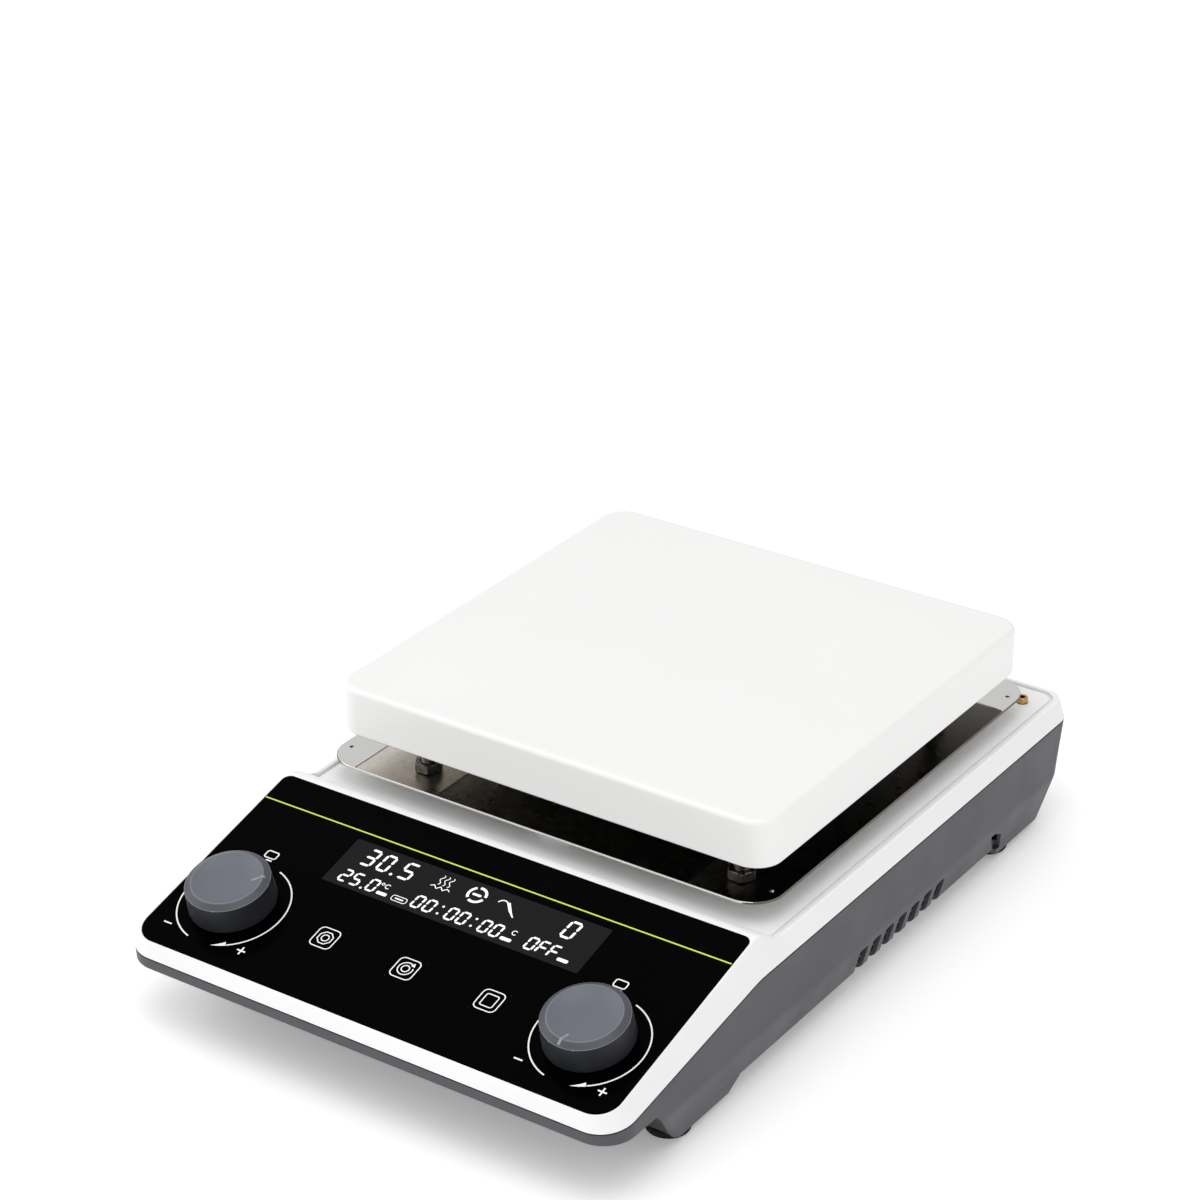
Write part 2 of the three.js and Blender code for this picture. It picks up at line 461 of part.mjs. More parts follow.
// ---------------------------------------------------------------- rear sockets
{
  // mains inlet: flange, body, open shroud with three blades
  const x = INLET_X, z = REAR_Z;
  let inlet = slab(x - 15.4, x + 15.4, -(z + 11.6), -(z - 11.6), 2, REAR_FACE + 0.3, REAR_FACE + 2.3, 3);
  const turn = new THREE.Matrix4().set(1, 0, 0, 0, 0, 0, 1, 0, 0, -1, 0, 0, 0, 0, 0, 1);   // (x,-z,y) -> (x,y,z)
  const turned = (m) => { const g = geometry(m); g.applyMatrix4(turn); return solid(g); };
  inlet = turned(inlet);
  inlet = inlet.add(box(x - 13.5, x + 13.5, 138, REAR_FACE + 1, z - 9.8, z + 9.8));
  const sh = new THREE.Shape([[-12.2, -8.2], [12.2, -8.2], [12.2, 4.6], [8.6, 8.2], [-8.6, 8.2], [-12.2, 4.6]].map(([a, b]) => new THREE.Vector2(a + x, -(b + z))));
  const cav = new THREE.ExtrudeGeometry(sh, { depth: 30, bevelEnabled: false });
  cav.translate(0, 0, 143);
  cav.applyMatrix4(turn);
  inlet = inlet.subtract(solid(cav));
  inlet = inlet.add(box(x - 8, x - 6, 142, 156.5, z - 4, z)).add(box(x + 6, x + 8, 142, 156.5, z - 4, z)).add(box(x - 1, x + 1, 142, 158, z + 0.4, z + 4.4));
  add('mains_inlet', inlet, 'black_plastic');

  // rocker power switch
  const sx = SWITCH_X;
  let frame = box(sx - 8.2, sx + 8.2, REAR_FACE + 0.3, REAR_FACE + 2.2, z - 11.6, z + 11.6).add(box(sx - 6.6, sx + 6.6, 143, REAR_FACE + 1, z - 9.9, z + 9.9));
  frame = frame.subtract(box(sx - 5.6, sx + 5.6, 147.5, 170, z - 9.2, z + 9.2));
  add('power_switch_frame', frame, 'black_plastic');
  const rs = new THREE.Shape([[-7.6, 156.4], [-4, 152.6], [4, 152.6], [7.6, 156.4], [7.9, 161.4], [4.2, 160.5], [0, 160.2], [-4.2, 160.5], [-7.9, 161.4]].map(([a, b]) => new THREE.Vector2(b, a)));
  const rg = new THREE.ExtrudeGeometry(rs, { depth: 10.4, bevelEnabled: false });
  // shape x -> world y, shape y -> world z, depth -> world x
  rg.applyMatrix4(new THREE.Matrix4().set(0, 0, 1, -5.2, 1, 0, 0, 0, 0, 1, 0, 0, 0, 0, 0, 1));
  rg.translate(0, -155.5, 0);
  rg.rotateX(THREE.MathUtils.degToRad(-7));
  rg.translate(sx, 155.5, z);
  add('power_switch_rocker', solid(rg), 'black_plastic');

  // socket for an outside temperature probe
  const px = PROBE_X;
  let probe = cylY(8.4, px, z, REAR_FACE + 0.3, REAR_FACE + 2.2, 20).add(cylY(6, px, z, 147, REAR_FACE + 1, 20)).subtract(cylY(4.7, px, z, 150.5, 170, 20));
  probe = probe.add(cylY(0.6, px - 2.2, z, 149, 156, 8)).add(cylY(0.6, px + 2.2, z, 149, 156, 8)).add(cylY(0.6, px, z - 2.4, 149, 156, 8));
  add('probe_socket', probe, 'zinc');
}

export default group;
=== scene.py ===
import bpy
import bmesh
import json
import math
import numpy as np
from mathutils import Matrix, Vector


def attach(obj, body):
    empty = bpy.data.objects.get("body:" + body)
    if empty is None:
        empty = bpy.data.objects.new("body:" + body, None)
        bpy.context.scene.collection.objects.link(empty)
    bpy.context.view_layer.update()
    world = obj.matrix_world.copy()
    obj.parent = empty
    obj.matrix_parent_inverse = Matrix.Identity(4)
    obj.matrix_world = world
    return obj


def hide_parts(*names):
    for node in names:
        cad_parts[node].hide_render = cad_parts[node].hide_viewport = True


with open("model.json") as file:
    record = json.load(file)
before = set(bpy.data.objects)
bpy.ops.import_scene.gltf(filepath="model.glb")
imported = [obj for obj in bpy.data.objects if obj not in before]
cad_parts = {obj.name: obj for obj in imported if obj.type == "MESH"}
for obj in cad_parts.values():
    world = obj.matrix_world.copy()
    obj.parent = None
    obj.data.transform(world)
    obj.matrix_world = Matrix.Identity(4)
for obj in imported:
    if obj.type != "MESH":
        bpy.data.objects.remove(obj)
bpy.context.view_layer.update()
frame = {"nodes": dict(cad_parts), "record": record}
NODES = frame["nodes"]
COLL = bpy.context.scene.collection

# ------------------------------------------------------------------ camera
AZ, EL = math.radians(34.163), math.radians(26.497)
BACK = Vector((math.sin(AZ) * math.cos(EL), -math.cos(AZ) * math.cos(EL), math.sin(EL)))
RIGHT = Vector((math.cos(AZ), math.sin(AZ), 0))
UP = BACK.cross(RIGHT)
cam_data = bpy.data.cameras.new("camera")
cam = bpy.data.objects.new("camera", cam_data)
COLL.objects.link(cam)
cam_data.sensor_width = 36.0
cam_data.lens = 3393.5 * 36.0 / 1200.0
cam_data.clip_start, cam_data.clip_end = 0.05, 60
cam.matrix_world = Matrix.Translation((0.6157, -0.9207, 0.6854)) @ Matrix((RIGHT, UP, BACK)).transposed().to_4x4()
bpy.context.scene.camera = cam

# ------------------------------------------------------------------ dimensions (mm, as the CAD has them)
CASE_HALF_W, FRONT, REAR, CASE_R, CASE_RR = 106.8, -162.5, 162.5, 12.9, 9.8
SEAM_FRONT_Z, SEAM_REAR_Z, SEAM_KINK_Y = 31.05, 46.4, -72.0
TOP_HALF_W, TOP_FRONT, TOP_REAR, TOP_R, TOP_RR = 103.4, -161.4, 162.1, 10.6, 7.4
PLATEAU_Z, RIM_Z, WALL = 53.1, 53.9, 2.6
TILT = math.radians(14.6)
PANEL_Y0, PANEL_Z0, PANEL_Y1, PANEL_HALF_W = -160.5, 37.7, -70.8, 102.4
PLATE, PLATE_Y, PLATE_TOP, PLATE_T, PLATE_R = 190.0, 44.1, 93.2, 19.5, 10.8
SHIELD_HALF_W, SHIELD_FRONT, SHIELD_REAR, SHIELD_Z, SHIELD_T, SHIELD_R = 97.5, -55.7, 143.9, 63.1, 1.0, 13.1
STANDOFF = 70.0
SOCKET_X, SOCKET_Y = 91.5, 147.8
KNOB_X, KNOB_V, KNOB_R = 77.3, 28.2, 16.37
KEY_X, KEY_V, KEY_SIZE = (-35.6, -0.6, 35.4), 28.4, 12.0
LCD_W, LCD_V0, LCD_V1 = 111.6, 52.3, 75.4
FLOOR_Z, CREASE_Z, FOOT_R, SEAM_GAP, LIP_Z = 8.0, 23.0, 8.3, 0.5, 26.6
FEET = (("foot_front_left", -91.8, -106.9), ("foot_front_right", 91.8, -106.9),
        ("foot_rear_left", -91.8, 122.8), ("foot_rear_right", 91.8, 122.8))
SCREWS = ((-90, -67), (90, -67), (-90, 98), (90, 98))
VENTS, VENT_PITCH, VENT_Y0, VENT_W = 7, 9.52, 3.1, 6.0
REAR_FACE, REAR_Z = 159.3, 33.0
INLET_X, SWITCH_X, PROBE_X = 60.0, 22.0, -44.0


def seam_z(y):
    return SEAM_FRONT_Z + (SEAM_REAR_Z - SEAM_FRONT_Z) * min(1, max(0, (y - FRONT) / (SEAM_KINK_Y - FRONT)))


def seam_soft(y):
    """The seam with its kink eased over a few millimetres."""
    return sum(seam_z(y + d) * w for d, w in ((-4, .1), (-2, .2), (0, .4), (2, .2), (4, .1)))


def slope_z(y):
    return PANEL_Z0 + math.tan(TILT) * (y - PANEL_Y0)


CREST = ((-70.8, 61.06), (-69, 61.2), (-67, 60.9), (-64.5, 59.7), (-61.5, 57.7), (-58.5, 55.7), (-56, 54.5), (-53, 53.95), (-50.5, 53.9))


def top_raw(y):
    if y <= PANEL_Y1:
        return slope_z(y)
    for (y0, z0), (y1, z1) in zip(CREST, CREST[1:]):
        if y <= y1:
            return z0 + (z1 - z0) * (y - y0) / (y1 - y0)
    return RIM_Z


def top_z(y):
    if y < -71.6 or y > -48:
        return top_raw(y)
    k = min(1.0, (y + 71.6) / 1.6)
    off = [-1.8, -1.2, -0.6, 0, 0.6, 1.2, 1.8]
    w = [math.exp(-(o / 1.1) ** 2) for o in off]
    return sum(top_raw(y + o * k) * g for o, g in zip(off, w)) / sum(w)


# ------------------------------------------------------------------ mesh helpers
def rounded(x0, x1, y0, y1, r, n=10):
    """Outline of a rectangle with rounded corners, anticlockwise. r is one radius or four: front left, front right, rear right, rear left."""
    a, b, c, d = r if isinstance(r, (list, tuple)) else (r, r, r, r)
    out = []
    for cx, cy, q, s in ((x0 + a, y0 + a, a, 180), (x1 - b, y0 + b, b, 270), (x1 - c, y1 - c, c, 0), (x0 + d, y1 - d, d, 90)):
        for i in range(n + 1):
            t = math.radians(s + 90 * i / n)
            out.append((cx + q * math.cos(t), cy + q * math.sin(t)))
    return out


def circle(r, x=0, y=0, n=64):
    return [(x + r * math.cos(2 * math.pi * i / n), y + r * math.sin(2 * math.pi * i / n)) for i in range(n)]


def stack(outlines, zs):
    """Closed solid through outlines that have the same number of points."""
    n = len(outlines[0])
    verts = [(x, y, z) for o, z in zip(outlines, zs) for x, y in o]
    faces = []
    for k in range(len(outlines) - 1):
        for i in range(n):
            j = (i + 1) % n
            faces.append((k * n + i, k * n + j, (k + 1) * n + j, (k + 1) * n + i))
    faces.append(tuple(reversed(range(n))))
    faces.append(tuple((len(outlines) - 1) * n + i for i in range(n)))
    return verts, faces


def slab(x0, x1, y0, y1, r, z0, z1, n=10):
    o = rounded(x0, x1, y0, y1, r, n)
    return stack([o, o], [z0, z1])


def soft_slab(x0, x1, y0, y1, r, z0, z1, top=0.0, bottom=0.0, n=10, m=4):
    """A rounded plate whose upper and lower edges are rounded too."""
    rs = r if isinstance(r, (list, tuple)) else (r, r, r, r)
    outs, zs = [], []

    def at(d):
        return rounded(x0 + d, x1 - d, y0 + d, y1 - d, [max(0.02, q - d) for q in rs], n)
    if bottom:
        for i in range(m + 1):
            t = math.pi / 2 * i / m
            outs.append(at(bottom * (1 - math.sin(t))))
            zs.append(z0 + bottom * (1 - math.cos(t)))
    else:
        outs.append(at(0)); zs.append(z0)
    if top:
        for i in range(m + 1):
            t = math.pi / 2 * i / m
            outs.append(at(top * (1 - math.cos(t))))
            zs.append(z1 - top * (1 - math.sin(t)))
    else:
        outs.append(at(0)); zs.append(z1)
    return stack(outs, zs)


def lathe(profile, n=64, cx=0.0, cy=0.0):
    """Revolves (radius, z) pairs about z. A radius of 0 is a pole; a profile that returns to its start is a ring."""
    closed = profile[0] == profile[-1]
    if closed:
        profile = profile[:-1]
    verts, faces, rows = [], [], []
    for r, z in profile:
        if r <= 1e-9:
            rows.append([len(verts)])
            verts.append((cx, cy, z))
        else:
            rows.append(list(range(len(verts), len(verts) + n)))
            for i in range(n):
                t = 2 * math.pi * i / n
                verts.append((cx + r * math.cos(t), cy + r * math.sin(t), z))
    pairs = list(zip(rows, rows[1:])) + ([(rows[-1], rows[0])] if closed else [])
    for a, b in pairs:
        for i in range(n):
            j = (i + 1) % n
            if len(a) == 1 and len(b) == 1:
                break
            if len(a) == 1:
                faces.append((a[0], b[j], b[i]))
            elif len(b) == 1:
                faces.append((a[i], a[j], b[0]))
            else:
                faces.append((a[i], a[j], b[j], b[i]))
    return verts, faces


def cyl(r, x, y, z0, z1, n=48):
    o = circle(r, x, y, n)
    return stack([o, o], [z0, z1])


def hexagon(af, x, y, z0, z1, chamfer=0.5, n=72, turn=0.0):
    """Hexagonal prism with its corners turned off at both ends."""
    out_r = af / math.sqrt(3)

    def at(limit):
        pts = []
        for i in range(n):
            t = 2 * math.pi * i / n
            local = ((t - turn) % (math.pi / 3)) - math.pi / 6
            rr = min(af / 2 / math.cos(local), limit)
            pts.append((x + rr * math.cos(t), y + rr * math.sin(t)))
        return pts
    lims = [af / 2 * 0.985, af / 2 + (out_r - af / 2) * 0.55, out_r + 1, out_r + 1, af / 2 + (out_r - af / 2) * 0.55, af / 2 * 0.985]
    zs = [z0, z0 + chamfer * 0.45, z0 + chamfer, z1 - chamfer, z1 - chamfer * 0.45, z1]
    return stack([at(q) for q in lims], zs)


def along_x(pts, a, b):
    """A side profile, (y, z) pairs, carried from x = a to x = b."""
    n = len(pts)
    verts = [(x, y, z) for x in (a, b) for y, z in pts]
    return verts, [tuple(range(n)), tuple(reversed(range(n, 2 * n)))] + [(i, i + n, (i + 1) % n + n, (i + 1) % n) for i in range(n)]


def join(*parts):
    verts, faces = [], []
    for v, f in parts:
        o = len(verts)
        verts += list(v)
        faces += [tuple(i + o for i in q) for q in f]
    return verts, faces


def moved(part, m):
    v, f = part
    return [tuple(m @ Vector(p)) for p in v], f


PANEL = Matrix.Translation((0, PANEL_Y0, PANEL_Z0)) @ Matrix.Rotation(TILT, 4, "X")
REAR_TURN = Matrix(((1, 0, 0, 0), (0, 0, 1, 0), (0, -1, 0, 0), (0, 0, 0, 1)))     # (x, -z, y) -> (x, y, z)


def on_panel(part):
    return moved(part, PANEL)


def mesh_of(part, name="m"):
    me = bpy.data.meshes.new(name)
    me.from_pydata([(x * 0.001, y * 0.001, z * 0.001) for x, y, z in part[0]], [], [tuple(f) for f in part[1]])
    me.validate()
    bm = bmesh.new()
    bm.from_mesh(me)
    bmesh.ops.remove_doubles(bm, verts=bm.verts, dist=1e-7)
    bmesh.ops.recalc_face_normals(bm, faces=bm.faces)
    bm.to_mesh(me)
    bm.free()
    return me


def cut(me, part, op="DIFFERENCE"):
    """me with the solid taken away, or added, or kept."""
    a = bpy.data.objects.new("a", me)
    b = bpy.data.objects.new("b", mesh_of(part, "c") if isinstance(part, tuple) else part)
    COLL.objects.link(a)
    COLL.objects.link(b)
    mod = a.modifiers.new("cut", "BOOLEAN")
    mod.operation, mod.solver, mod.object = op, "EXACT", b
    bpy.context.view_layer.update()
    dg = bpy.context.evaluated_depsgraph_get()
    new = bpy.data.meshes.new_from_object(a.evaluated_get(dg))
    bpy.data.objects.remove(a)
    bpy.data.objects.remove(b)
    return new


def shade(me, angle=32.0):
    bm = bmesh.new()
    bm.from_mesh(me)
    bmesh.ops.remove_doubles(bm, verts=bm.verts, dist=2e-6)
    bmesh.ops.dissolve_degenerate(bm, edges=bm.edges, dist=2e-6)
    lim = math.radians(angle)
    for f in bm.faces:
        f.smooth = True
    for e in bm.edges:
        e.smooth = not (len(e.link_faces) == 2 and e.calc_face_angle(0) > lim)
    bm.to_mesh(me)
    bm.free()


def piece(name, me, mat, body="root", replaces=(), angle=32.0, bevel=0.0, weighted=True):
    if isinstance(me, tuple):
        me = mesh_of(me, name)
    me.name = name
    shade(me, angle)
    me.materials.clear()
    for m in (mat if isinstance(mat, (list, tuple)) else [mat]):
        me.materials.append(m)
    o = bpy.data.objects.new(name, me)
    COLL.objects.link(o)
    if bevel:
        b = o.modifiers.new("edge", "BEVEL")
        b.width, b.segments, b.limit_method, b.angle_limit = bevel * 0.001, 2, "ANGLE", math.radians(40)
        b.use_clamp_overlap, b.harden_normals = True, False
    if weighted:
        w = o.modifiers.new("normals", "WEIGHTED_NORMAL")
        w.keep_sharp, w.weight = True, 60
    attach(o, body)
    if replaces:
        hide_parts(*replaces)
    return o


# ------------------------------------------------------------------ materials
def material(name, colour, rough, metal=0.0, spec=0.5, tint=0.03, tint_scale=18.0, grain=0.0, grain_scale=1800.0,
             rough_var=0.06, rough_scale=60.0, coat=0.0, coat_rough=0.08, streak=None, second=None, emission=0.0, painted_shade_side=None):
    """A finish from noise: slow drift of colour, fine grain in the height and some change of gloss."""
    m = bpy.data.materials.new(name)
    m.use_nodes = True
    nt = m.node_tree
    nd, ln = nt.nodes, nt.links
    bsdf = nd["Principled BSDF"]
    bsdf.inputs["Metallic"].default_value = metal
    bsdf.inputs["Specular IOR Level"].default_value = spec
    bsdf.inputs["Coat Weight"].default_value = coat
    bsdf.inputs["Coat Roughness"].default_value = coat_rough
    co = nd.new("ShaderNodeTexCoord")
    src = co.outputs["Object"]
    if streak:
        mp = nd.new("ShaderNodeMapping")
        mp.inputs["Scale"].default_value = streak
        ln.new(src, mp.inputs["Vector"])
        src = mp.outputs["Vector"]
    slow = nd.new("ShaderNodeTexNoise")
    slow.inputs["Scale"].default_value = tint_scale
    slow.inputs["Detail"].default_value = 4
    ln.new(src, slow.inputs["Vector"])
    ramp = nd.new("ShaderNodeValToRGB")
    c2 = second or [max(0.0, c * (1 - tint)) for c in colour]
    ramp.color_ramp.elements[0].position, ramp.color_ramp.elements[1].position = 0.32, 0.68
    ramp.color_ramp.elements[0].color = (*c2, 1)
    ramp.color_ramp.elements[1].color = (*colour, 1)
    ln.new(slow.outputs["Fac"], ramp.inputs["Fac"])
    ln.new(ramp.outputs["Color"], bsdf.inputs["Base Color"])
    if painted_shade_side:
        # painted shade that deepens towards one side: full colour up to the first x, k times as much from the second on
        x0, x1, k = painted_shade_side
        sep, fall, mul = (nd.new(t) for t in ("ShaderNodeSeparateXYZ", "ShaderNodeMapRange", "ShaderNodeVectorMath"))
        mul.operation = "SCALE"
        ln.new(co.outputs["Object"], sep.inputs["Vector"])
        fall.inputs["From Min"].default_value, fall.inputs["From Max"].default_value = x0, x1
        fall.inputs["To Min"].default_value, fall.inputs["To Max"].default_value = 1.0, k
        ln.new(sep.outputs["X"], fall.inputs["Value"])
        ln.new(ramp.outputs["Color"], mul.inputs[0])
        ln.new(fall.outputs["Result"], mul.inputs["Scale"])
        ln.new(mul.outputs["Vector"], bsdf.inputs["Base Color"])
    gloss = nd.new("ShaderNodeTexNoise")
    gloss.inputs["Scale"].default_value = rough_scale
    gloss.inputs["Detail"].default_value = 6
    ln.new(src, gloss.inputs["Vector"])
    rr = nd.new("ShaderNodeMapRange")
    rr.inputs["From Min"].default_value, rr.inputs["From Max"].default_value = 0.3, 0.7
    rr.inputs["To Min"].default_value, rr.inputs["To Max"].default_value = max(0.01, rough - rough_var), rough + rough_var
    ln.new(gloss.outputs["Fac"], rr.inputs["Value"])
    ln.new(rr.outputs["Result"], bsdf.inputs["Roughness"])
    if grain:
        fine = nd.new("ShaderNodeTexNoise")
        fine.inputs["Scale"].default_value = grain_scale
        fine.inputs["Detail"].default_value = 2
        ln.new(src, fine.inputs["Vector"])
        bump = nd.new("ShaderNodeBump")
        bump.inputs["Strength"].default_value = 0.6
        bump.inputs["Distance"].default_value = grain * 0.001
        ln.new(fine.outputs["Fac"], bump.inputs["Height"])
        ln.new(bump.outputs["Normal"], bsdf.inputs["Normal"])
    if emission:
        bsdf.inputs["Emission Color"].default_value = (*colour, 1)
        bsdf.inputs["Emission Strength"].default_value = emission
    return m


M = {
    "case_white": material("white_moulding", (0.845, 0.848, 0.85), 0.42, spec=0.4, tint=0.02, grain=0.012, grain_scale=2600, rough_var=0.05),
    # lighter copy of the white for the top case's upward faces: painted light
    "case_painted_light_top": material("white_moulding_painted_light_top", (0.915, 0.917, 0.918), 0.42, spec=0.4, tint=0.02, grain=0.012, grain_scale=2600, rough_var=0.05),
    "case_grey": material("grey_moulding", (0.072, 0.072, 0.081), 0.5, spec=0.35, tint=0.07, tint_scale=30, grain=0.03, grain_scale=2200, rough_var=0.06),
    # near-black copy of the grey for the tub's front wall under the lip: painted shade
    "case_painted_shade_lip": material("grey_moulding_painted_shade_under_lip", (0.020, 0.021, 0.023), 0.6, spec=0.2, tint=0.07, tint_scale=30, grain=0.03, grain_scale=2200, rough_var=0.06),
    # near-black copy of the grey for the tub's hollow: painted shade; the plate's underside edge ring uses it too
    "case_painted_shade_inside": material("grey_moulding_painted_shade_inside", (0.008, 0.008, 0.009), 0.7, spec=0.15, tint=0.1, tint_scale=30, grain=0.03, grain_scale=2200, rough_var=0.06),
    "plate_white": material("ceramic_coat", (0.875, 0.872, 0.865), 0.34, spec=0.45, tint=0.012, tint_scale=14, grain=0.01, grain_scale=900, rough_var=0.05),
    # cast underside, darkened towards +x as painted shade
    "plate_under": material("cast_underside", (0.64, 0.59, 0.54), 0.3, metal=1.0, tint_scale=420, second=(0.53, 0.49, 0.45), grain=0.03, grain_scale=700, rough_var=0.05, rough_scale=120, painted_shade_side=(0.056, 0.076, 0.09)),
    # dark brown for the shield's left and right edge faces: painted shade in place of their bright reflection
    "side_edge_painted_shade": material("sheet_side_edge_painted_shade", (0.16, 0.145, 0.13), 0.45, metal=1.0, tint=0.2, tint_scale=300, grain=0.01, grain_scale=900),
    "steel": material("polished_sheet", (0.83, 0.82, 0.80), 0.055, metal=1.0, tint=0.04, tint_scale=60, grain=0.002, grain_scale=500, rough_var=0.025, rough_scale=140),
    "panel": material("gloss_overlay", (0.0010, 0.0006, 0.0006), 0.2, spec=0.015, tint=0.3, grain=0.0, rough_var=0.03),
    "window": material("display_window", (0.0150, 0.0150, 0.0153), 0.15, spec=0.015, tint=0.05, rough_var=0.03),
    "knob": material("knob_plastic", (0.130, 0.139, 0.165), 0.46, spec=0.42, tint=0.05, tint_scale=60, grain=0.02, grain_scale=3000, rough_var=0.05),
    # darker copy of the knob grey for the bevel band: painted shade
    "knob_painted_shade_band": material("knob_bevel_painted_shade", (0.062, 0.067, 0.081), 0.42, spec=0.42, tint=0.05, tint_scale=60, grain=0.02, grain_scale=3000, rough_var=0.05),
    # lighter copy of the knob grey for the outer crest and dish rim: painted highlight
    "knob_painted_highlight_edge": material("knob_edge_painted_highlight", (0.19, 0.20, 0.235), 0.42, spec=0.42, tint=0.05, tint_scale=60, grain=0.01, grain_scale=3000, rough_var=0.05),
    # near-black copy of the knob grey for the skirt: painted shade
    "knob_painted_shade_side": material("knob_skirt_painted_shade", (0.015, 0.016, 0.021), 0.45, spec=0.3, tint=0.06, tint_scale=80, grain=0.02, grain_scale=3000, rough_var=0.05),
    "mark": material("index_line", (0.27, 0.28, 0.32), 0.5, tint=0.05),
    # white print with a faint emission: painted light
    "ink": material("white_print_painted_glow", (0.86, 0.86, 0.86), 0.5, spec=0.3, tint=0.03, tint_scale=200, emission=0.15),
    # lime print with a faint emission: painted light
    "lime": material("lime_print_painted_glow", (0.60, 0.74, 0.055), 0.5, spec=0.3, tint=0.05, tint_scale=200, emission=0.12),
    "segment": material("lit_segment", (0.92, 0.93, 0.93), 0.5, spec=0.2, tint=0.02, tint_scale=300, emission=0.25),
    "rubber": material("foot_rubber", (0.009, 0.009, 0.009), 0.78, spec=0.25, tint=0.25, tint_scale=150, grain=0.05, grain_scale=1500),
    "brass": material("turned_brass", (0.62, 0.40, 0.13), 0.28, metal=1.0, tint=0.12, tint_scale=200, streak=(1, 1, 8), grain=0.01, grain_scale=900),
    "board": material("solder_mask", (0.02, 0.11, 0.045), 0.35, tint=0.3, tint_scale=400, grain=0.03, grain_scale=900),
    "black_plastic": material("black_moulding", (0.013, 0.013, 0.014), 0.42, spec=0.45, tint=0.2, tint_scale=70, grain=0.03, grain_scale=2200),
    "zinc": material("zinc_plating", (0.52, 0.52, 0.51), 0.3, metal=1.0, tint=0.12, tint_scale=300, grain=0.01, grain_scale=1200, rough_var=0.1),
    "dark_zinc": material("blackened_steel", (0.24, 0.235, 0.225), 0.3, metal=1.0, tint=0.25, tint_scale=400, grain=0.02, grain_scale=1200, rough_var=0.1),
    "magnet": material("nickel_plating", (0.60, 0.59, 0.56), 0.18, metal=1.0, tint=0.06, tint_scale=200, grain=0.004),
    "mica": material("mica_sheet", (0.36, 0.31, 0.22), 0.6, tint=0.35, tint_scale=260, grain=0.04, grain_scale=900),
    "wool": material("ceramic_fibre", (0.66, 0.63, 0.55), 0.95, spec=0.1, tint=0.2, tint_scale=500, grain=0.4, grain_scale=900),
    "black_metal": material("blackened_sheet", (0.20, 0.18, 0.16), 0.3, metal=1.0, tint=0.4, tint_scale=300, grain=0.03, grain_scale=900),
}
CAD_FINISH = {"case_white": "case_white", "case_grey": "case_grey", "plate_white": "plate_white", "shield_steel": "steel", "panel_black": "panel",
              "window_black": "window", "knob_grey": "knob", "rubber_black": "rubber", "brass": "brass", "board_green": "board",
              "black_plastic": "black_plastic", "zinc": "zinc", "magnet": "magnet", "mica": "mica", "wool": "wool", "black_metal": "black_metal"}


# ------------------------------------------------------------------ lofts of the case
def ring(hw, yf, yr, rf, rr, z, breaks, n=14):
    pts = []
    for i in range(n + 1):
        a = math.pi / 2 * i / n
        pts.append((hw - rf + rf * math.sin(a), yf + rf - rf * math.cos(a)))
    pts += [(hw, b) for b in breaks]
    for i in range(n + 1):
        a = math.pi / 2 * i / n
        pts.append((hw - rr + rr * math.cos(a), yr - rr + rr * math.sin(a)))
    return np.array([(x, y, z(y) if callable(z) else z) for x, y in pts], float)


def loft(rings):
    n = len(rings[0])
    verts = []
    for r in rings:
        for x, y, z in r:
            verts += [(x, y, z), (-x, y, z)]
    R = lambda k, i: (k * n + i) * 2
    L = lambda k, i: (k * n + i) * 2 + 1
    faces = []
    for k in range(len(rings) - 1):
        for i in range(n - 1):
            faces.append((R(k, i), R(k, i + 1), R(k + 1, i + 1), R(k + 1, i)))
            faces.append((L(k, i + 1), L(k, i), L(k + 1, i), L(k + 1, i + 1)))
        faces.append((L(k, 0), R(k, 0), R(k + 1, 0), L(k + 1, 0)))
        faces.append((R(k, n - 1), L(k, n - 1), L(k + 1, n - 1), R(k + 1, n - 1)))
    K = len(rings) - 1
    for i in range(n - 1):
        faces.append((L(K, i), R(K, i), R(K, i + 1), L(K, i + 1)))
        faces.append((R(0, i), L(0, i), L(0, i + 1), R(0, i + 1)))
    return verts, faces


def eased(below, at, above, a, m=3):
    """Rings that round the edge at ring `at`, reaching a millimetres down each neighbouring face."""
    d0 = below - at
    d1 = above - at
    l0 = np.linalg.norm(d0, axis=1, keepdims=True)
    l1 = np.linalg.norm(d1, axis=1, keepdims=True)
    p0 = at + d0 / l0 * np.minimum(a, l0 * 0.45)
    p2 = at + d1 / l1 * np.minimum(a, l1 * 0.45)
    out = []
    for i in range(m + 1):
        t = i / m
        out.append((1 - t) ** 2 * p0 + 2 * t * (1 - t) * at + t * t * p2)
    return out


TOP_BREAKS = [-140, -120, -100, -85, -78, -75, -73.4, -72.2] + [-71.6 + 0.7 * i for i in range(34)] + [-46, -30, 0, 40, 80, 120]

# ---- top case
seam = ring(CASE_HALF_W, FRONT, REAR, CASE_R, CASE_RR, seam_soft, TOP_BREAKS)
seam_in = ring(CASE_HALF_W - 0.25, FRONT + 0.25, REAR - 0.25, CASE_R - 0.25, CASE_RR - 0.25, lambda y: seam_soft(y), TOP_BREAKS)
seam_up = ring(CASE_HALF_W - 0.08, FRONT + 0.03, REAR - 0.03, CASE_R - 0.08, CASE_RR - 0.08, lambda y: seam_soft(y) + 0.28, TOP_BREAKS)
edge = ring(TOP_HALF_W, TOP_FRONT, TOP_REAR, TOP_R, TOP_RR, top_z, TOP_BREAKS)
inner = ring(TOP_HALF_W - 0.7, TOP_FRONT + 0.7, TOP_REAR - 0.7, TOP_R - 0.7, TOP_RR - 0.7, top_z, TOP_BREAKS)
wall_dir = seam_up - edge
wall_len = np.linalg.norm(wall_dir, axis=1, keepdims=True)
p0 = edge + wall_dir / wall_len * 1.7
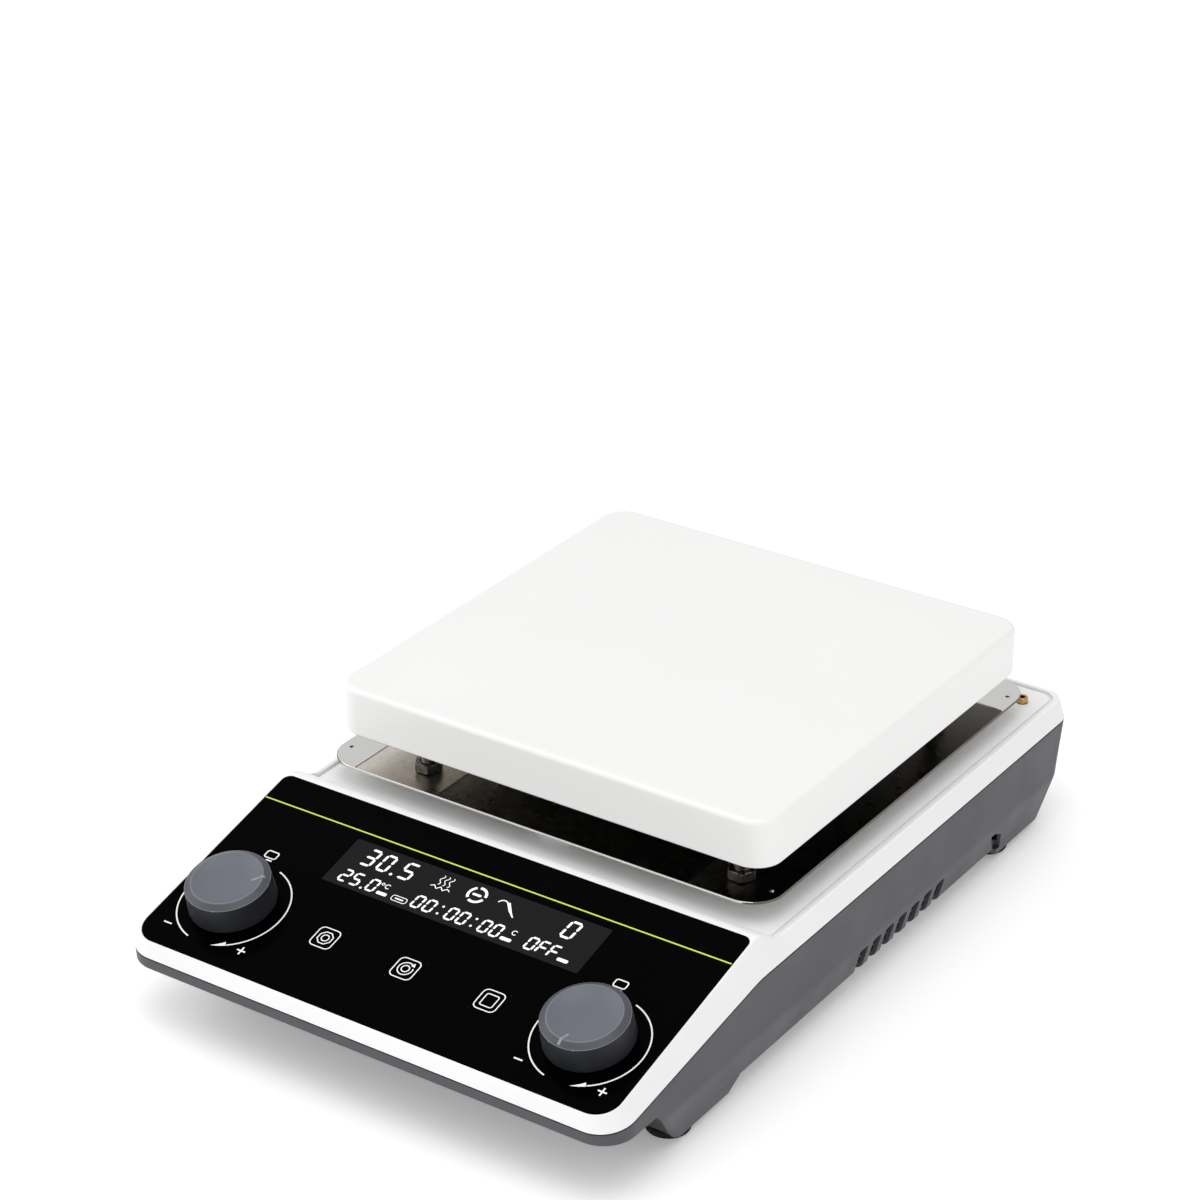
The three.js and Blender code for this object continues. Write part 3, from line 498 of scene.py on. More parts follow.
fillet = [(1 - t) ** 2 * p0 + 2 * t * (1 - t) * edge + t * t * inner for t in (0, 0.2, 0.4, 0.6, 0.8, 1.0)]
top = mesh_of(loft([seam_in, seam_up] + fillet), "top_case")

# shallow tray, its rim eased
TX, TY0, TY1, TR = 101.2, -61.0, 159.9, (5.0, 5.0, 6.5, 6.5)
tray_prof = [(-0.5, PLATEAU_Z), (-0.2, PLATEAU_Z + 0.08), (-0.04, PLATEAU_Z + 0.25), (0, PLATEAU_Z + 0.4), (0.08, PLATEAU_Z + 0.6), (0.3, PLATEAU_Z + 0.78), (0.42, PLATEAU_Z + 0.83), (0.42, 66)]
tray = stack([rounded(-TX - d, TX + d, TY0 - d, TY1 + d, [r + d for r in TR], 12) for d, _ in tray_prof], [z for _, z in tray_prof])
top = cut(top, tray)
# narrow gutter round the tray's foot
top = cut(top, slab(-TX, TX, TY0, TY1, list(TR), PLATEAU_Z - 0.6, PLATEAU_Z + 0.2, 12))
top = cut(top, slab(-TX + 1.35, TX - 1.35, TY0 + 1.35, TY1 - 1.35, [r - 1.35 for r in TR], PLATEAU_Z - 0.9, PLATEAU_Z, 12), "UNION")
# the hollow
hb = [-72, -69, -66, -62, -58, -56, 0, 80]
hollow = loft([
    ring(CASE_HALF_W - WALL, FRONT + WALL, REAR - WALL, CASE_R - WALL, CASE_RR - WALL, lambda y: seam_z(y) - 1, hb, 8),
    ring(TOP_HALF_W - WALL, TOP_FRONT + WALL, TOP_REAR - WALL, TOP_R - WALL, TOP_RR - WALL,
         lambda y: (slope_z(y) if y < -69 else PLATEAU_Z if y > -56 else 61 - (y + 69) * 7.9 / 13) - 2.9, hb, 8),
])
top = cut(top, hollow)
top = cut(top, soft_slab(-10, 9, -44.4, -22, [6, 6, 2, 2], PLATEAU_Z - 1, PLATEAU_Z + 3.2, top=0.6), "UNION")
for x, y in SCREWS:
    top = cut(top, cyl(4.4, x, y, 11.2, 55.6 if y < 0 else 52, 24), "UNION")
top = cut(top, join(*[cyl(2.0, x, y, 10, 33, 16) for x, y in SCREWS]))
top = cut(top, on_panel(join(*[cyl(2.6, u, v, -9.15, -2.0, 16) for u, v in ((-88, 40), (88, 40), (-88, 78), (88, 78))])), "UNION")
top = cut(top, on_panel(slab(-102.62, 102.62, -0.22, 92.92, [9.2, 9.2, 3.6, 3.6], -1.4, 3, 12)))
holes = [slab(-54.5, 54.5, LCD_V0 + 1.2, LCD_V1 - 1.2, 1, -12, 3, 3), cyl(4.5, -KNOB_X, KNOB_V, -12, 3, 40), cyl(4.5, KNOB_X, KNOB_V, -12, 3, 40)]
holes += [slab(u - 5.3, u + 5.3, KEY_V - 5.3, KEY_V + 5.3, 2, -12, 3, 4) for u in KEY_X]
top = cut(top, on_panel(join(*holes)))
holes = [cyl(42, 0, PLATE_Y, 40, 60, 96), cyl(2.4, SOCKET_X, SOCKET_Y, 40, 60, 32)]
holes += [cyl(3.3, sx * STANDOFF, PLATE_Y + sy * STANDOFF, 40, 60, 32) for sx in (-1, 1) for sy in (-1, 1)]
top = cut(top, join(*holes))
top_obj = piece("top_case_moulding", top, [M["case_white"], M["case_painted_light_top"]], replaces=["top_case"])
# the top's upward faces (tray, rim and crest) get the lighter copy of the white: painted light
for f in top_obj.data.polygons:
    if f.normal.z > 0.6 and f.center.z > (PLATEAU_Z - 0.05) * 0.001:
        f.material_index = 1

# ---- lower case
LOW = [-120, -105, -90, -80, -76, -74, -72, -70, -68, -64, -50, 0, 40, 80, 110, 140]
low_out = ring(CASE_HALF_W - 0.1, FRONT + 0.1, REAR - 0.1, CASE_R - 0.1, CASE_RR - 0.1, lambda y: seam_soft(y) - SEAM_GAP, LOW)
low_lip = ring(106.4, FRONT + 0.4, 160.7, CASE_R - 0.4, 12.3, LIP_Z, LOW)
low_lip2 = ring(105.9, FRONT + 0.9, 160.2, CASE_R - 0.9, 11.8, LIP_Z, LOW)
low_in = ring(CASE_HALF_W - 0.35, FRONT + 0.35, REAR - 0.35, CASE_R - 0.35, CASE_RR - 0.35, lambda y: seam_soft(y) - SEAM_GAP + 0.02, LOW)
flange = loft([low_lip2] + eased(low_lip2, low_lip, low_out, 0.45) + eased(low_lip, low_out, low_in, 0.25, 2) + [low_in])
low = mesh_of(flange, "bottom_case")
LOWT = [y for y in LOW if y > -112]
floor_in = ring(99.6, -118.9, 151.9, 2.4, 6.9, FLOOR_Z, LOWT)
floor_r = ring(100.9, -120.2, 153.2, 3, 7.6, FLOOR_Z, LOWT)
facet_r = ring(102.85, -121.6, 155.05, 3, 8.9, 9.5, LOWT)
crease_r = ring(106.4, -132.7, 160.4, 2.2, 12.6, CREASE_Z, LOWT)
tub_lip = ring(106.4, -136.5, 160.7, 2.2, 12.3, LIP_Z, LOWT)
tub_top = ring(CASE_HALF_W - 0.1, -136.5, REAR - 0.1, 2.2, CASE_RR - 0.1, lambda y: seam_soft(y) - SEAM_GAP, LOWT)
tub_in = ring(CASE_HALF_W - 0.35, -136.3, REAR - 0.35, 2.0, CASE_RR - 0.35, lambda y: seam_soft(y) - SEAM_GAP + 0.02, LOWT)
tub = [floor_in] + eased(floor_in, floor_r, facet_r, 0.8) + eased(floor_r, facet_r, crease_r, 0.8) + eased(facet_r, crease_r, tub_lip, 2.0, 5) + [tub_lip] + eased(tub_lip, tub_top, tub_in, 0.25, 2) + [tub_in]
low = cut(low, loft(tub), "UNION")
# pods that carry the feet, their outer faces in the plane of the chamfer
pod_in = ring(100.3, -114.8, 151.7, 2.2, 6.4, 3.5, LOWT)
pod_low = ring(101.27, -115.8, 152.7, 3, 7.4, 3.5, LOWT)
pod_top = ring(102.85, -121.6, 155.05, 3, 8.9, 9.5, LOWT)
pod_end = ring(102.4, -121.2, 154.6, 3, 8.5, 12, LOWT)
under = mesh_of(loft([pod_in] + eased(pod_in, pod_low, pod_top, 0.6) + [pod_top, pod_end]), "under")
blocks = []
for a, b in ((-108, -80), (80, 108)):
    blocks.append(along_x([(-125, 12), (-125, 3), (-84, 3), (-75.75, 12)], a, b))
    blocks.append(along_x([(108.5, 12), (113.5, 3), (160, 3), (160, 12)], a, b))
low = cut(low, cut(under, join(*blocks), "INTERSECT"), "UNION")
low = cut(low, loft([
    ring(101.5, -119.6, 152.6, 2, 6.8, FLOOR_Z + 2.5, [-72, 0, 75], 6),
    ring(104.8, -130.0, 157.8, 1.6, 10.4, CREASE_Z + 0.4, [-72, 0, 75], 6),
    ring(104.2, -134.2, 159.7, 1.6, 7.2, lambda y: seam_z(y) + 1, [-72, 0, 75], 6),
]))
low = cut(low, loft([
    ring(104.2, FRONT + 2.7, REAR - 2.8, 10.2, 7.2, LIP_Z + 2, [-105, -72, 0, 75], 6),
    ring(104.2, FRONT + 2.7, REAR - 2.8, 10.2, 7.2, lambda y: seam_z(y) + 1, [-105, -72, 0, 75], 6),
]))
cuts = []
for s in (-1, 1):
    a, b = (-110, -99.6) if s < 0 else (99.6, 110)
    for i in range(VENTS):
        y0 = VENT_Y0 + i * VENT_PITCH - VENT_W / 2
        y1, zt, q = y0 + VENT_W, 19.7, 1.4
        shape = [(y0, FLOOR_Z - 1), (y1, FLOOR_Z - 1)]
        shape += [(y1 - q + q * math.cos(t), zt - q + q * math.sin(t)) for t in [math.pi / 2 * k / 5 for k in range(6)]]
        shape += [(y0 + q - q * math.sin(t), zt - q + q * math.cos(t)) for t in [math.pi / 2 * k / 5 for k in range(6)]]
        cuts.append(along_x(shape, a, b))
    a, b = (-110, -100.2) if s < 0 else (100.2, 110)
    cuts.append(along_x([(107.9, FLOOR_Z - 1), (114, FLOOR_Z - 1), (110.4, 15.2), (103.9, 18.7), (100.5, 18.9)], a, b))
low = cut(low, join(*cuts))
low = cut(low, slab(-70, 84, 156.7, 160.3, 0.05, 23.2, 45.5, 1), "UNION")
low = cut(low, slab(-66, 80, REAR_FACE, 170, 0.05, 20.9, 45.1, 1))
box = lambda x0, x1, y0, y1, z0, z1: slab(x0, x1, y0, y1, 0.02, z0, z1, 1)
low = cut(low, join(box(INLET_X - 13.9, INLET_X + 13.9, 140, 170, REAR_Z - 10.2, REAR_Z + 10.2),
                    box(SWITCH_X - 6.9, SWITCH_X + 6.9, 140, 170, REAR_Z - 10.2, REAR_Z + 10.2),
                    moved(cyl(6.3, PROBE_X, -REAR_Z, 140, 170, 48), REAR_TURN)))
# foot sockets: round, the front ones open to the front
for _, x, y in FEET:
    mouth = circle(7.8, x, y, 56)
    if y < 0:
        mouth = [(x - 7.83, -133.0), (x + 7.83, -133.0)] + [(x + 7.83 * math.cos(math.pi * i / 25), y + 0.03 + 7.83 * math.sin(math.pi * i / 25)) for i in range(26)]
    low = cut(low, stack([mouth, mouth], [-0.4, 9]))
low = cut(low, join(*[cyl(2.3, x, y, 0, 20, 24) for x, y in SCREWS]))
posts = [cyl(3.4, x, y, 10, 14.2, 20) for x, y in ((-40, 20), (40, 20), (-40, 68), (40, 68))]
posts += [cyl(2.4, x, y, 10, 15.2, 20) for x, y in ((-92, -30), (-58, -30), (-92, 60), (-58, 60))]
low = cut(low, join(*posts), "UNION")
low_obj = piece("bottom_case_moulding", low, [M["case_grey"], M["case_painted_shade_lip"], M["case_painted_shade_inside"]], replaces=["bottom_case"])
for f in low_obj.data.polygons:
    x, y, z = (c * 1000 for c in f.center)
    inward = f.normal.x * x + f.normal.y * (y - 15) < 0
    # tub's front wall under the lip: painted shade
    if f.normal.y < -0.6 and abs(f.normal.x) < 0.3 and -137.5 < y < -114 and 3.6 < z < LIP_Z + 0.2:
        f.material_index = 1
    # inside faces and inner floor of the tub get the near-black copy: painted shade in the hollow behind the vents
    elif z > 10.3 and y < 154 and (inward or f.normal.z > 0.9 and z < 12) and not (abs(f.normal.y) > 0.85 and abs(x) > 99 and z < 20):
        f.material_index = 2

# ------------------------------------------------------------------ plate, shield, standoffs
h, z0 = PLATE / 2, PLATE_TOP - PLATE_T
prof = [(1.2, z0), (0.5, z0 + 0.15), (0.12, z0 + 0.55), (0, z0 + 1.1), (0, PLATE_TOP - 2.2), (0.1, PLATE_TOP - 1.4), (0.42, PLATE_TOP - 0.75), (0.95, PLATE_TOP - 0.27), (1.6, PLATE_TOP - 0.05), (2.2, PLATE_TOP)]
plate = mesh_of(stack([rounded(-h + d, h - d, PLATE_Y - h + d, PLATE_Y + h - d, PLATE_R - d, 16) for d, _ in prof], [z for _, z in prof]), "plate")
plate = cut(plate, slab(-56, 56, PLATE_Y - 88, PLATE_Y + 88, 4, z0 - 1, z0 + 12.5, 6))
studs = [cyl(3.3, sx * STANDOFF, PLATE_Y + sy * STANDOFF, z0 - 1, z0 + 9, 32) for sx in (-1, 1) for sy in (-1, 1)]
plate = cut(plate, join(*studs, moved(cyl(1.9, 30, -(z0 + 15.5), PLATE_Y - 2, PLATE_Y + 100, 24), REAR_TURN)))
plate_obj = piece("top_plate_casting", plate, [M["plate_white"], M["plate_under"], M["case_painted_shade_inside"]], replaces=["top_plate"])
# underside faces get the cast finish; the lowest ring of the bottom fillet gets the near-black grey, a painted shade
# line along the underside's edge
for f in plate_obj.data.polygons:
    if f.normal.z < -0.6 and f.center.z < (z0 + 13) * 0.001 or (abs(f.center.x) < 0.0575 and abs(f.center.y - PLATE_Y * 0.001) < 0.0885 and f.center.z < (z0 + 13) * 0.001):
        f.material_index = 2 if f.normal.z < -0.6 and f.center.z > (z0 + 0.02) * 0.001 and f.center.z < (z0 + 0.3) * 0.001 else 1

shield = mesh_of(soft_slab(-SHIELD_HALF_W, SHIELD_HALF_W, SHIELD_FRONT, SHIELD_REAR, SHIELD_R, SHIELD_Z - SHIELD_T, SHIELD_Z, top=0.3, bottom=0.3, n=16), "shield")
shield = cut(shield, join(*[cyl(3.4, sx * STANDOFF, PLATE_Y + sy * STANDOFF, 55, 70, 32) for sx in (-1, 1) for sy in (-1, 1)],
                          *[cyl(0.9, sx * 93.1, PLATE_Y + sy * 87.4, 55, 70, 20) for sx in (-1, 1) for sy in (-1, 1)]))
shield_obj = piece("heat_shield_sheet", shield, [M["steel"], M["side_edge_painted_shade"]], replaces=["heat_shield"])
# left and right edge faces of the sheet take the dark brown: painted shade
for f in shield_obj.data.polygons:
    if abs(f.normal.x) > 0.3 and abs(f.normal.z) < 0.97:
        f.material_index = 1


def thread(r, depth, pitch, a, b):
    """Profile of a threaded rod from a to b, (radius, z) pairs with poles at both ends."""
    out = [(0, a), (r - depth, a)]
    z = a + 0.25
    while z < b - pitch:
        out += [(r - depth, z), (r, z + pitch * 0.42), (r, z + pitch * 0.58)]
        z += pitch
    out += [(r - depth, b), (0, b)]
    return out


for sx in (-1, 1):
    for sy in (-1, 1):
        tag = f"{'front' if sy < 0 else 'rear'}_{'left' if sx < 0 else 'right'}"
        x, y = sx * STANDOFF, PLATE_Y + sy * STANDOFF
        rod = mesh_of(lathe(thread(3.0, 0.32, 1.0, 47, z0 + 8.5), 36, x, y), "rod")
        rod = cut(rod, hexagon(11, x, y, PLATEAU_Z + 0.3, SHIELD_Z - SHIELD_T - 0.3, 0.7), "UNION")
        piece(f"standoff_{tag}_threaded", rod, M["dark_zinc"], replaces=[f"standoff_{tag}"], angle=25)
        nut = mesh_of(hexagon(10, x, y, z0 - 4.3, z0 - 0.3, 0.6), "nut")
        nut = cut(nut, cyl(3.4, x, y, 60, 80, 36))
        piece(f"standoff_nut_{tag}_turned", nut, M["dark_zinc"], replaces=[f"standoff_nut_{tag}"], angle=25)
sock = mesh_of(lathe([(0, 45), (2.0, 45), (2.0, PLATEAU_Z + 2.1), (0, PLATEAU_Z + 2.1)], 40, SOCKET_X, SOCKET_Y), "sock")
sock = cut(sock, hexagon(4.3, SOCKET_X, SOCKET_Y, PLATEAU_Z + 0.1, PLATEAU_Z + 2.3, 0.4), "UNION")
sock = cut(sock, cyl(1.25, SOCKET_X, SOCKET_Y, 47, 60, 32))
piece("rod_socket_turned", sock, M["brass"], replaces=["rod_socket"], angle=25)

# ------------------------------------------------------------------ control panel
over = mesh_of(on_panel(soft_slab(-PANEL_HALF_W, PANEL_HALF_W, 0, 92.7, [9.0, 9.0, 3.4, 3.4], -1.1, 0.1, top=0.12, n=14, m=3)), "overlay")
cuts = [slab(-LCD_W / 2 - 0.12, LCD_W / 2 + 0.12, LCD_V0 - 0.12, LCD_V1 + 0.12, 0.7, -3, 3, 3)]
cuts += [slab(u - KEY_SIZE / 2 - 0.2, u + KEY_SIZE / 2 + 0.2, KEY_V - KEY_SIZE / 2 - 0.2, KEY_V + KEY_SIZE / 2 + 0.2, 2.4, -3, 3, 8) for u in KEY_X]
cuts += [cyl(6.9, s * KNOB_X, KNOB_V, -3, 3, 48) for s in (-1, 1)]
over = cut(over, on_panel(join(*cuts)))
piece("control_panel_overlay", over, M["panel"], replaces=["control_panel"])
piece("lcd_window_pane", on_panel(soft_slab(-LCD_W / 2, LCD_W / 2, LCD_V0, LCD_V1, 0.6, -1.1, 0.1, top=0.08, n=4, m=2)), M["window"], replaces=["lcd_window"])

KEYS = (("program", "program_key"), ("reverse", "reverse_key"), ("start", "start_key"))
for (nm, body), u in zip(KEYS, KEY_X):
    k = KEY_SIZE / 2
    key = mesh_of(on_panel(soft_slab(u - k, u + k, KEY_V - k, KEY_V + k, 2.2, -0.9, 0.1, top=0.12, n=8, m=3)), "key")
    key = cut(key, on_panel(slab(u - 4.9, u + 4.9, KEY_V - 4.9, KEY_V + 4.9, 1.8, -6.3, -0.6, 4)), "UNION")
    piece(f"key_{nm}_cap", key, M["panel"], body=body, replaces=[f"key_{nm}"])

# knobs: skirt, bevelled rim and dished face as one turning
KNOB_TURN = {"left": 28.0, "right": -93.0}
SKIRT = [(13.9, 1.3), (15.7, 1.3), (16.1, 1.36), (16.3, 1.5), (16.37, 1.75), (16.27, 4.0), (16.15, 6.5), (16.03, 8.8), (15.9, 11.0), (15.86, 11.22), (15.78, 11.38), (15.64, 11.51)]
FACE = [(15.45, 11.63), (14.7, 12.1), (13.9, 12.58), (13.5, 12.8), (13.25, 12.9), (13.0, 12.93), (12.75, 12.89), (12.5, 12.78), (11.8, 12.4), (10.5, 11.85), (9.0, 11.4), (7.5, 11.1),
        (6.0, 10.92), (4.0, 10.8), (2.0, 10.76), (0, 10.75)]
for side, s in (("left", -1), ("right", 1)):
    x, v = s * KNOB_X, KNOB_V
    hub = [(0, 9.3), (3.2, 9.3), (3.2, 2.0), (5.2, 2.0), (5.2, 9.0), (13.4, 9.0), (13.9, 1.3)]
    part = lathe(SKIRT + FACE + hub, 128, x, v)
    knob = piece(f"knob_{side}_turned", on_panel(part), [M["knob"], M["knob_painted_shade_side"], M["knob_painted_shade_band"], M["knob_painted_highlight_edge"]], body=f"{side}_knob", replaces=[f"knob_{side}"], angle=40)
    inv = PANEL.inverted()
    for f in knob.data.polygons:
        c = inv @ (f.center * 1000)
        r = math.hypot(c.x - x, c.y - v)
        # skirt and hub take the near-black copy: painted shade
        if c.z < 9.9 or r > 13.0 and c.z < 11.3:
            f.material_index = 1
        # outer crest and dish rim take the lighter copy: painted highlight
        elif r > 15.6 or 13.0 < r < 13.3:
            f.material_index = 3
        # bevel band takes the darker copy: painted shade
        elif r > 13.4:
            f.material_index = 2


# ------------------------------------------------------------------ printed graphics, as thin films
def film(shapes, w0, w1):
    """Flat outlines in the panel's plane (each a list of (u, v)), as closed films from w0 to w1."""
    return join(*[stack([o, o], [w0, w1]) for o in shapes])


def bar(u0, v0, u1, v1, t, cap=True):
    """A stroke from one point to another, t wide."""
    d = Vector((u1 - u0, v1 - v0))
    L = d.length
    d /= L
    n = Vector((-d.y, d.x)) * (t / 2)
    a, b = Vector((u0, v0)), Vector((u1, v1))
    if not cap:
        return [tuple(a - n), tuple(b - n), tuple(b + n), tuple(a + n)]
    out = []
    base = math.atan2(d.y, d.x)
    for i in range(7):
        q = base - math.pi / 2 + math.pi * i / 6
        out.append((u1 + t / 2 * math.cos(q), v1 + t / 2 * math.sin(q)))
    for i in range(7):
        q = base + math.pi / 2 + math.pi * i / 6
        out.append((u0 + t / 2 * math.cos(q), v0 + t / 2 * math.sin(q)))
    return out


def path(points, t, closed=False):
    """A mitred stroke along points as a list of convex quads that meet edge to edge, given as one ring-shaped or open outline."""
    P = [Vector(p) for p in points]
    n = len(P)
    left, right = [], []
    for i in range(n):
        if closed:
            a, b, c = P[i - 1], P[i], P[(i + 1) % n]
        else:
            a, b, c = P[max(0, i - 1)], P[i], P[min(n - 1, i + 1)]
        d0 = (b - a) if (b - a).length > 1e-9 else (c - b)
        d1 = (c - b) if (c - b).length > 1e-9 else (b - a)
        d0, d1 = d0.normalized(), d1.normalized()
        n0, n1 = Vector((-d0.y, d0.x)), Vector((-d1.y, d1.x))
        m = (n0 + n1)
        m = m.normalized() if m.length > 1e-6 else n0
        k = t / 2 / max(0.35, m.dot(n0))
        left.append(b + m * k)
        right.append(b - m * k)
    return left, right


def stroke(points, t, w0, w1, closed=False):
    """A closed film that follows points."""
    left, right = path(points, t, closed)
    n = len(left)
    verts = []
    for l, r in zip(left, right):
        verts += [(l.x, l.y, w0), (r.x, r.y, w0), (l.x, l.y, w1), (r.x, r.y, w1)]
    faces = []
    for i in range(n if closed else n - 1):
        j = (i + 1) % n
        a, b = i * 4, j * 4
        faces += [(a, a + 1, b + 1, b), (a + 2, b + 2, b + 3, a + 3), (a, b, b + 2, a + 2), (a + 1, a + 3, b + 3, b + 1)]
    if not closed:
        faces += [(0, 2, 3, 1), ((n - 1) * 4, (n - 1) * 4 + 1, (n - 1) * 4 + 3, (n - 1) * 4 + 2)]
    return verts, faces


def arc(cx, cy, r, a0, a1, n=None):
    n = n or max(6, int(abs(a1 - a0) / 4))
    return [(cx + r * math.cos(math.radians(a0 + (a1 - a0) * i / n)), cy + r * math.sin(math.radians(a0 + (a1 - a0) * i / n))) for i in range(n + 1)]


W0, W1 = 0.1, 0.145
ink = []
lime_parts = [film([[(-102.1, 78.8), (102.1, 78.8), (102.1, 79.35), (-102.1, 79.35)]], W0, W1)]
for s in (-1, 1):
    cx, cy = s * KNOB_X, KNOB_V
    ink.append(stroke(arc(cx, cy, 21.0, -60, 75), 0.55, W0, W1))
    ink.append(stroke(arc(cx, cy, 21.0, 255.5, 105), 0.55, W0, W1))
    # arrowhead: a wedge that grows towards the arc's end
    tip, base = -75.5, -60.5
    outer = arc(cx, cy, 21.27, tip, base, 8)
    innr = [(cx + (21.2 - 1.75 * i / 8) * math.cos(math.radians(tip + (base - tip) * i / 8)), cy + (21.2 - 1.75 * i / 8) * math.sin(math.radians(tip + (base - tip) * i / 8))) for i in range(8, -1, -1)]
    v, f = stack([outer + innr, outer + innr], [W0, W1])
    ink.append((v, f))
    um, up = (-93.7, -59.9) if s < 0 else (60.0, 94.1)
    ink.append(stroke([(um - 1.75, 10.1), (um + 1.75, 10.1)], 0.62, W0, W1))
    ink.append(stroke([(up - 1.8, 10.1), (up + 1.8, 10.1)], 0.62, W0, W1))
    ink.append(stroke([(up, 10.45), (up, 11.95)], 0.62, W0, W1))
    ink.append(stroke([(up, 8.25), (up, 9.75)], 0.62, W0, W1))
    # push symbol: a cap over a short stem
    cu = -80.3 if s < 0 else 72.6
    ink.append(stroke(rounded(cu - 2.5, cu + 2.5, 52.85, 56.25, 0.9, 4), 0.5, W0, W1, closed=True))
    ink.append(stroke([(cu - 0.6, 51.75), (cu + 2.0, 51.75)], 0.6, W0, W1))
piece("panel_print", mesh_of(on_panel(join(*ink)), "print"), M["ink"], weighted=False)
piece("panel_print_line", mesh_of(on_panel(join(*lime_parts)), "line"), M["lime"], weighted=False)

# key symbols: a rounded square round something simple
for i, ((nm, body), u) in enumerate(zip(KEYS, (-35.9, -0.5, 35.5))):
    v = 28.35
    parts = [stroke(rounded(u - 4.45, u + 4.45, v - 4.65, v + 4.65, 2.0, 5), 0.42, W0, W1, closed=True)]
    if i == 0:
        parts.append(stroke(arc(u, v, 3.0, 22.5, 337.5, 7), 0.42, W0, W1, closed=True))
        parts.append(stroke(arc(u, v, 1.45, 0, 350, 35), 0.42, W0, W1, closed=True))
    elif i == 1:
        parts.append(stroke(arc(u, v, 2.9, 60, 380, 40), 0.42, W0, W1))
        parts.append(stack([[(u + 1.0, v + 2.0), (u + 2.1, v + 3.5), (u + 2.75, v + 1.7)]] * 2, [W0, W1]))
        parts.append(stroke(arc(u, v, 1.5, 0, 350, 35), 0.42, W0, W1, closed=True))
    else:
        parts.append(stroke(rounded(u - 2.55, u + 2.55, v - 2.8, v + 2.8, 0.8, 4), 0.42, W0, W1, closed=True))
    piece(f"key_{nm}_symbol", mesh_of(on_panel(join(*parts)), "symbol"), M["ink"], body=body, weighted=False)

# display: seven-segment figures and three small symbols
SEG = {"0": "abcdef", "1": "bc", "2": "abged", "3": "abgcd", "4": "fgbc", "5": "afgcd", "6": "afgedc", "7": "abc", "8": "abcdefg", "9": "abcdfg", "O": "abcdef", "F": "afeg", "-": "g"}


def digit(ch, u, v, w, h, t, lean=0.05):
    """Segments as pointed bars; u, v is the lower left corner."""
    g = t * 0.16
    e = t / 2
    xs, ys = (u + e, u + w - e), (v + e, v + h / 2, v + h - e)
    lines = {"a": (xs[0], ys[2], xs[1], ys[2]), "g": (xs[0], ys[1], xs[1], ys[1]), "d": (xs[0], ys[0], xs[1], ys[0]),
             "f": (xs[0], ys[1], xs[0], ys[2]), "b": (xs[1], ys[1], xs[1], ys[2]), "e": (xs[0], ys[0], xs[0], ys[1]), "c": (xs[1], ys[0], xs[1], ys[1])}
    out = []
    for s in SEG[ch]:
        x0, y0, x1, y1 = lines[s]
        d = Vector((x1 - x0, y1 - y0))
        L = d.length
        d /= L
        n = Vector((-d.y, d.x))
        a, b = Vector((x0, y0)) + d * g, Vector((x1, y1)) - d * g
        pts = [a, a + d * e - n * e, b - d * e - n * e, b, b - d * e + n * e, a + d * e + n * e]
        out.append([(p.x + (p.y - v) * lean, p.y) for p in pts])
    return out


def dot(u, v, r, n=14):
    return circle(r, u, v, n)


LW0, LW1 = 0.1, 0.14
figs = []
for ch, u, w in (("3", -48.3, 5.1), ("0", -41.1, 4.9), ("5", -31.5, 5.4)):
    figs += digit(ch, u, 64.5, w, 8.8, 1.0, 0.09)
figs.append(dot(-33.7, 65.0, 0.62))
for ch, u in (("2", -50.8), ("5", -45.7), ("0", -38.5)):
    figs += digit(ch, u, 54.3, 4.0, 6.5, 0.82, 0.09)
figs.append(dot(-39.7, 54.6, 0.5))
for ch, u in (("0", -18.3), ("0", -13.2), ("0", -3.65), ("0", 1.4), ("0", 10.9), ("0", 15.9)):
    figs += digit(ch, u, 54.4, 4.0, 6.5, 0.82, 0.09)
for u in (-6.4, 8.2):
    figs += [dot(u + 0.1, 55.7, 0.5), dot(u + 0.3, 59.5, 0.5)]
figs += digit("0", 39.4, 64.7, 5.1, 8.8, 1.0, 0.09)
for ch, u in (("O", 30.9), ("F", 35.7), ("F", 40.4)):
    figs += digit(ch, u, 54.4, 4.0, 6.5, 0.82, 0.09)
figs_part = film(figs, LW0, LW1)
parts = [figs_part]
# small plain tags beside the figures
for u0, u1, v0, v1 in ((-33.0, -28.6, 54.6, 56.1), (21.2, 25.8, 54.7, 56.2), (45.5, 50.0, 54.6, 56.1)):
    parts.append(film([rounded(u0, u1, v0, v1, 0.5, 3)], LW0, LW1))
parts.append(stroke(rounded(-26.3, -19.9, 54.4, 56.9, 0.9, 4), 0.28, LW0, LW1, closed=True))
parts.append(stroke([(-24.9, 55.65), (-21.3, 55.65)], 0.6, LW0, LW1))
for u, v in ((-32.9, 59.5), (22.6, 59.7)):
    if u < 0:
        parts.append(stroke(arc(u, v + 0.2, 0.55, 0, 330, 11), 0.26, LW0, LW1, closed=True))
    parts.append(stroke(arc(u + 2.3, v - 0.3, 1.0, 45, 315, 10), 0.34, LW0, LW1))
# heat: three rising waves over a bed line
for k in range(3):
    cu = -14.8 + 2.05 * k
    parts.append(stroke([(cu + 0.55 * math.sin(q * 1.9), 68.0 + q * 1.0) for q in [i * 0.4 for i in range(13)]], 0.3, LW0, LW1))
parts.append(stroke([(-17.0, 66.6), (-15.6, 67.3), (-14.2, 66.0), (-12.8, 67.3), (-11.4, 66.0), (-10.0, 67.3), (-8.6, 66.5)], 0.36, LW0, LW1))
# stirring: a ring of three arrows round a bar
for k in range(3):
    a0 = 100 + 120 * k
    parts.append(stroke(arc(1.5, 69.5, 3.5, a0, a0 - 98, 18), 1.05, LW0, LW1))
parts.append(film([rounded(-0.4, 3.4, 69.0, 70.0, 0.45, 4)], LW0, LW1))
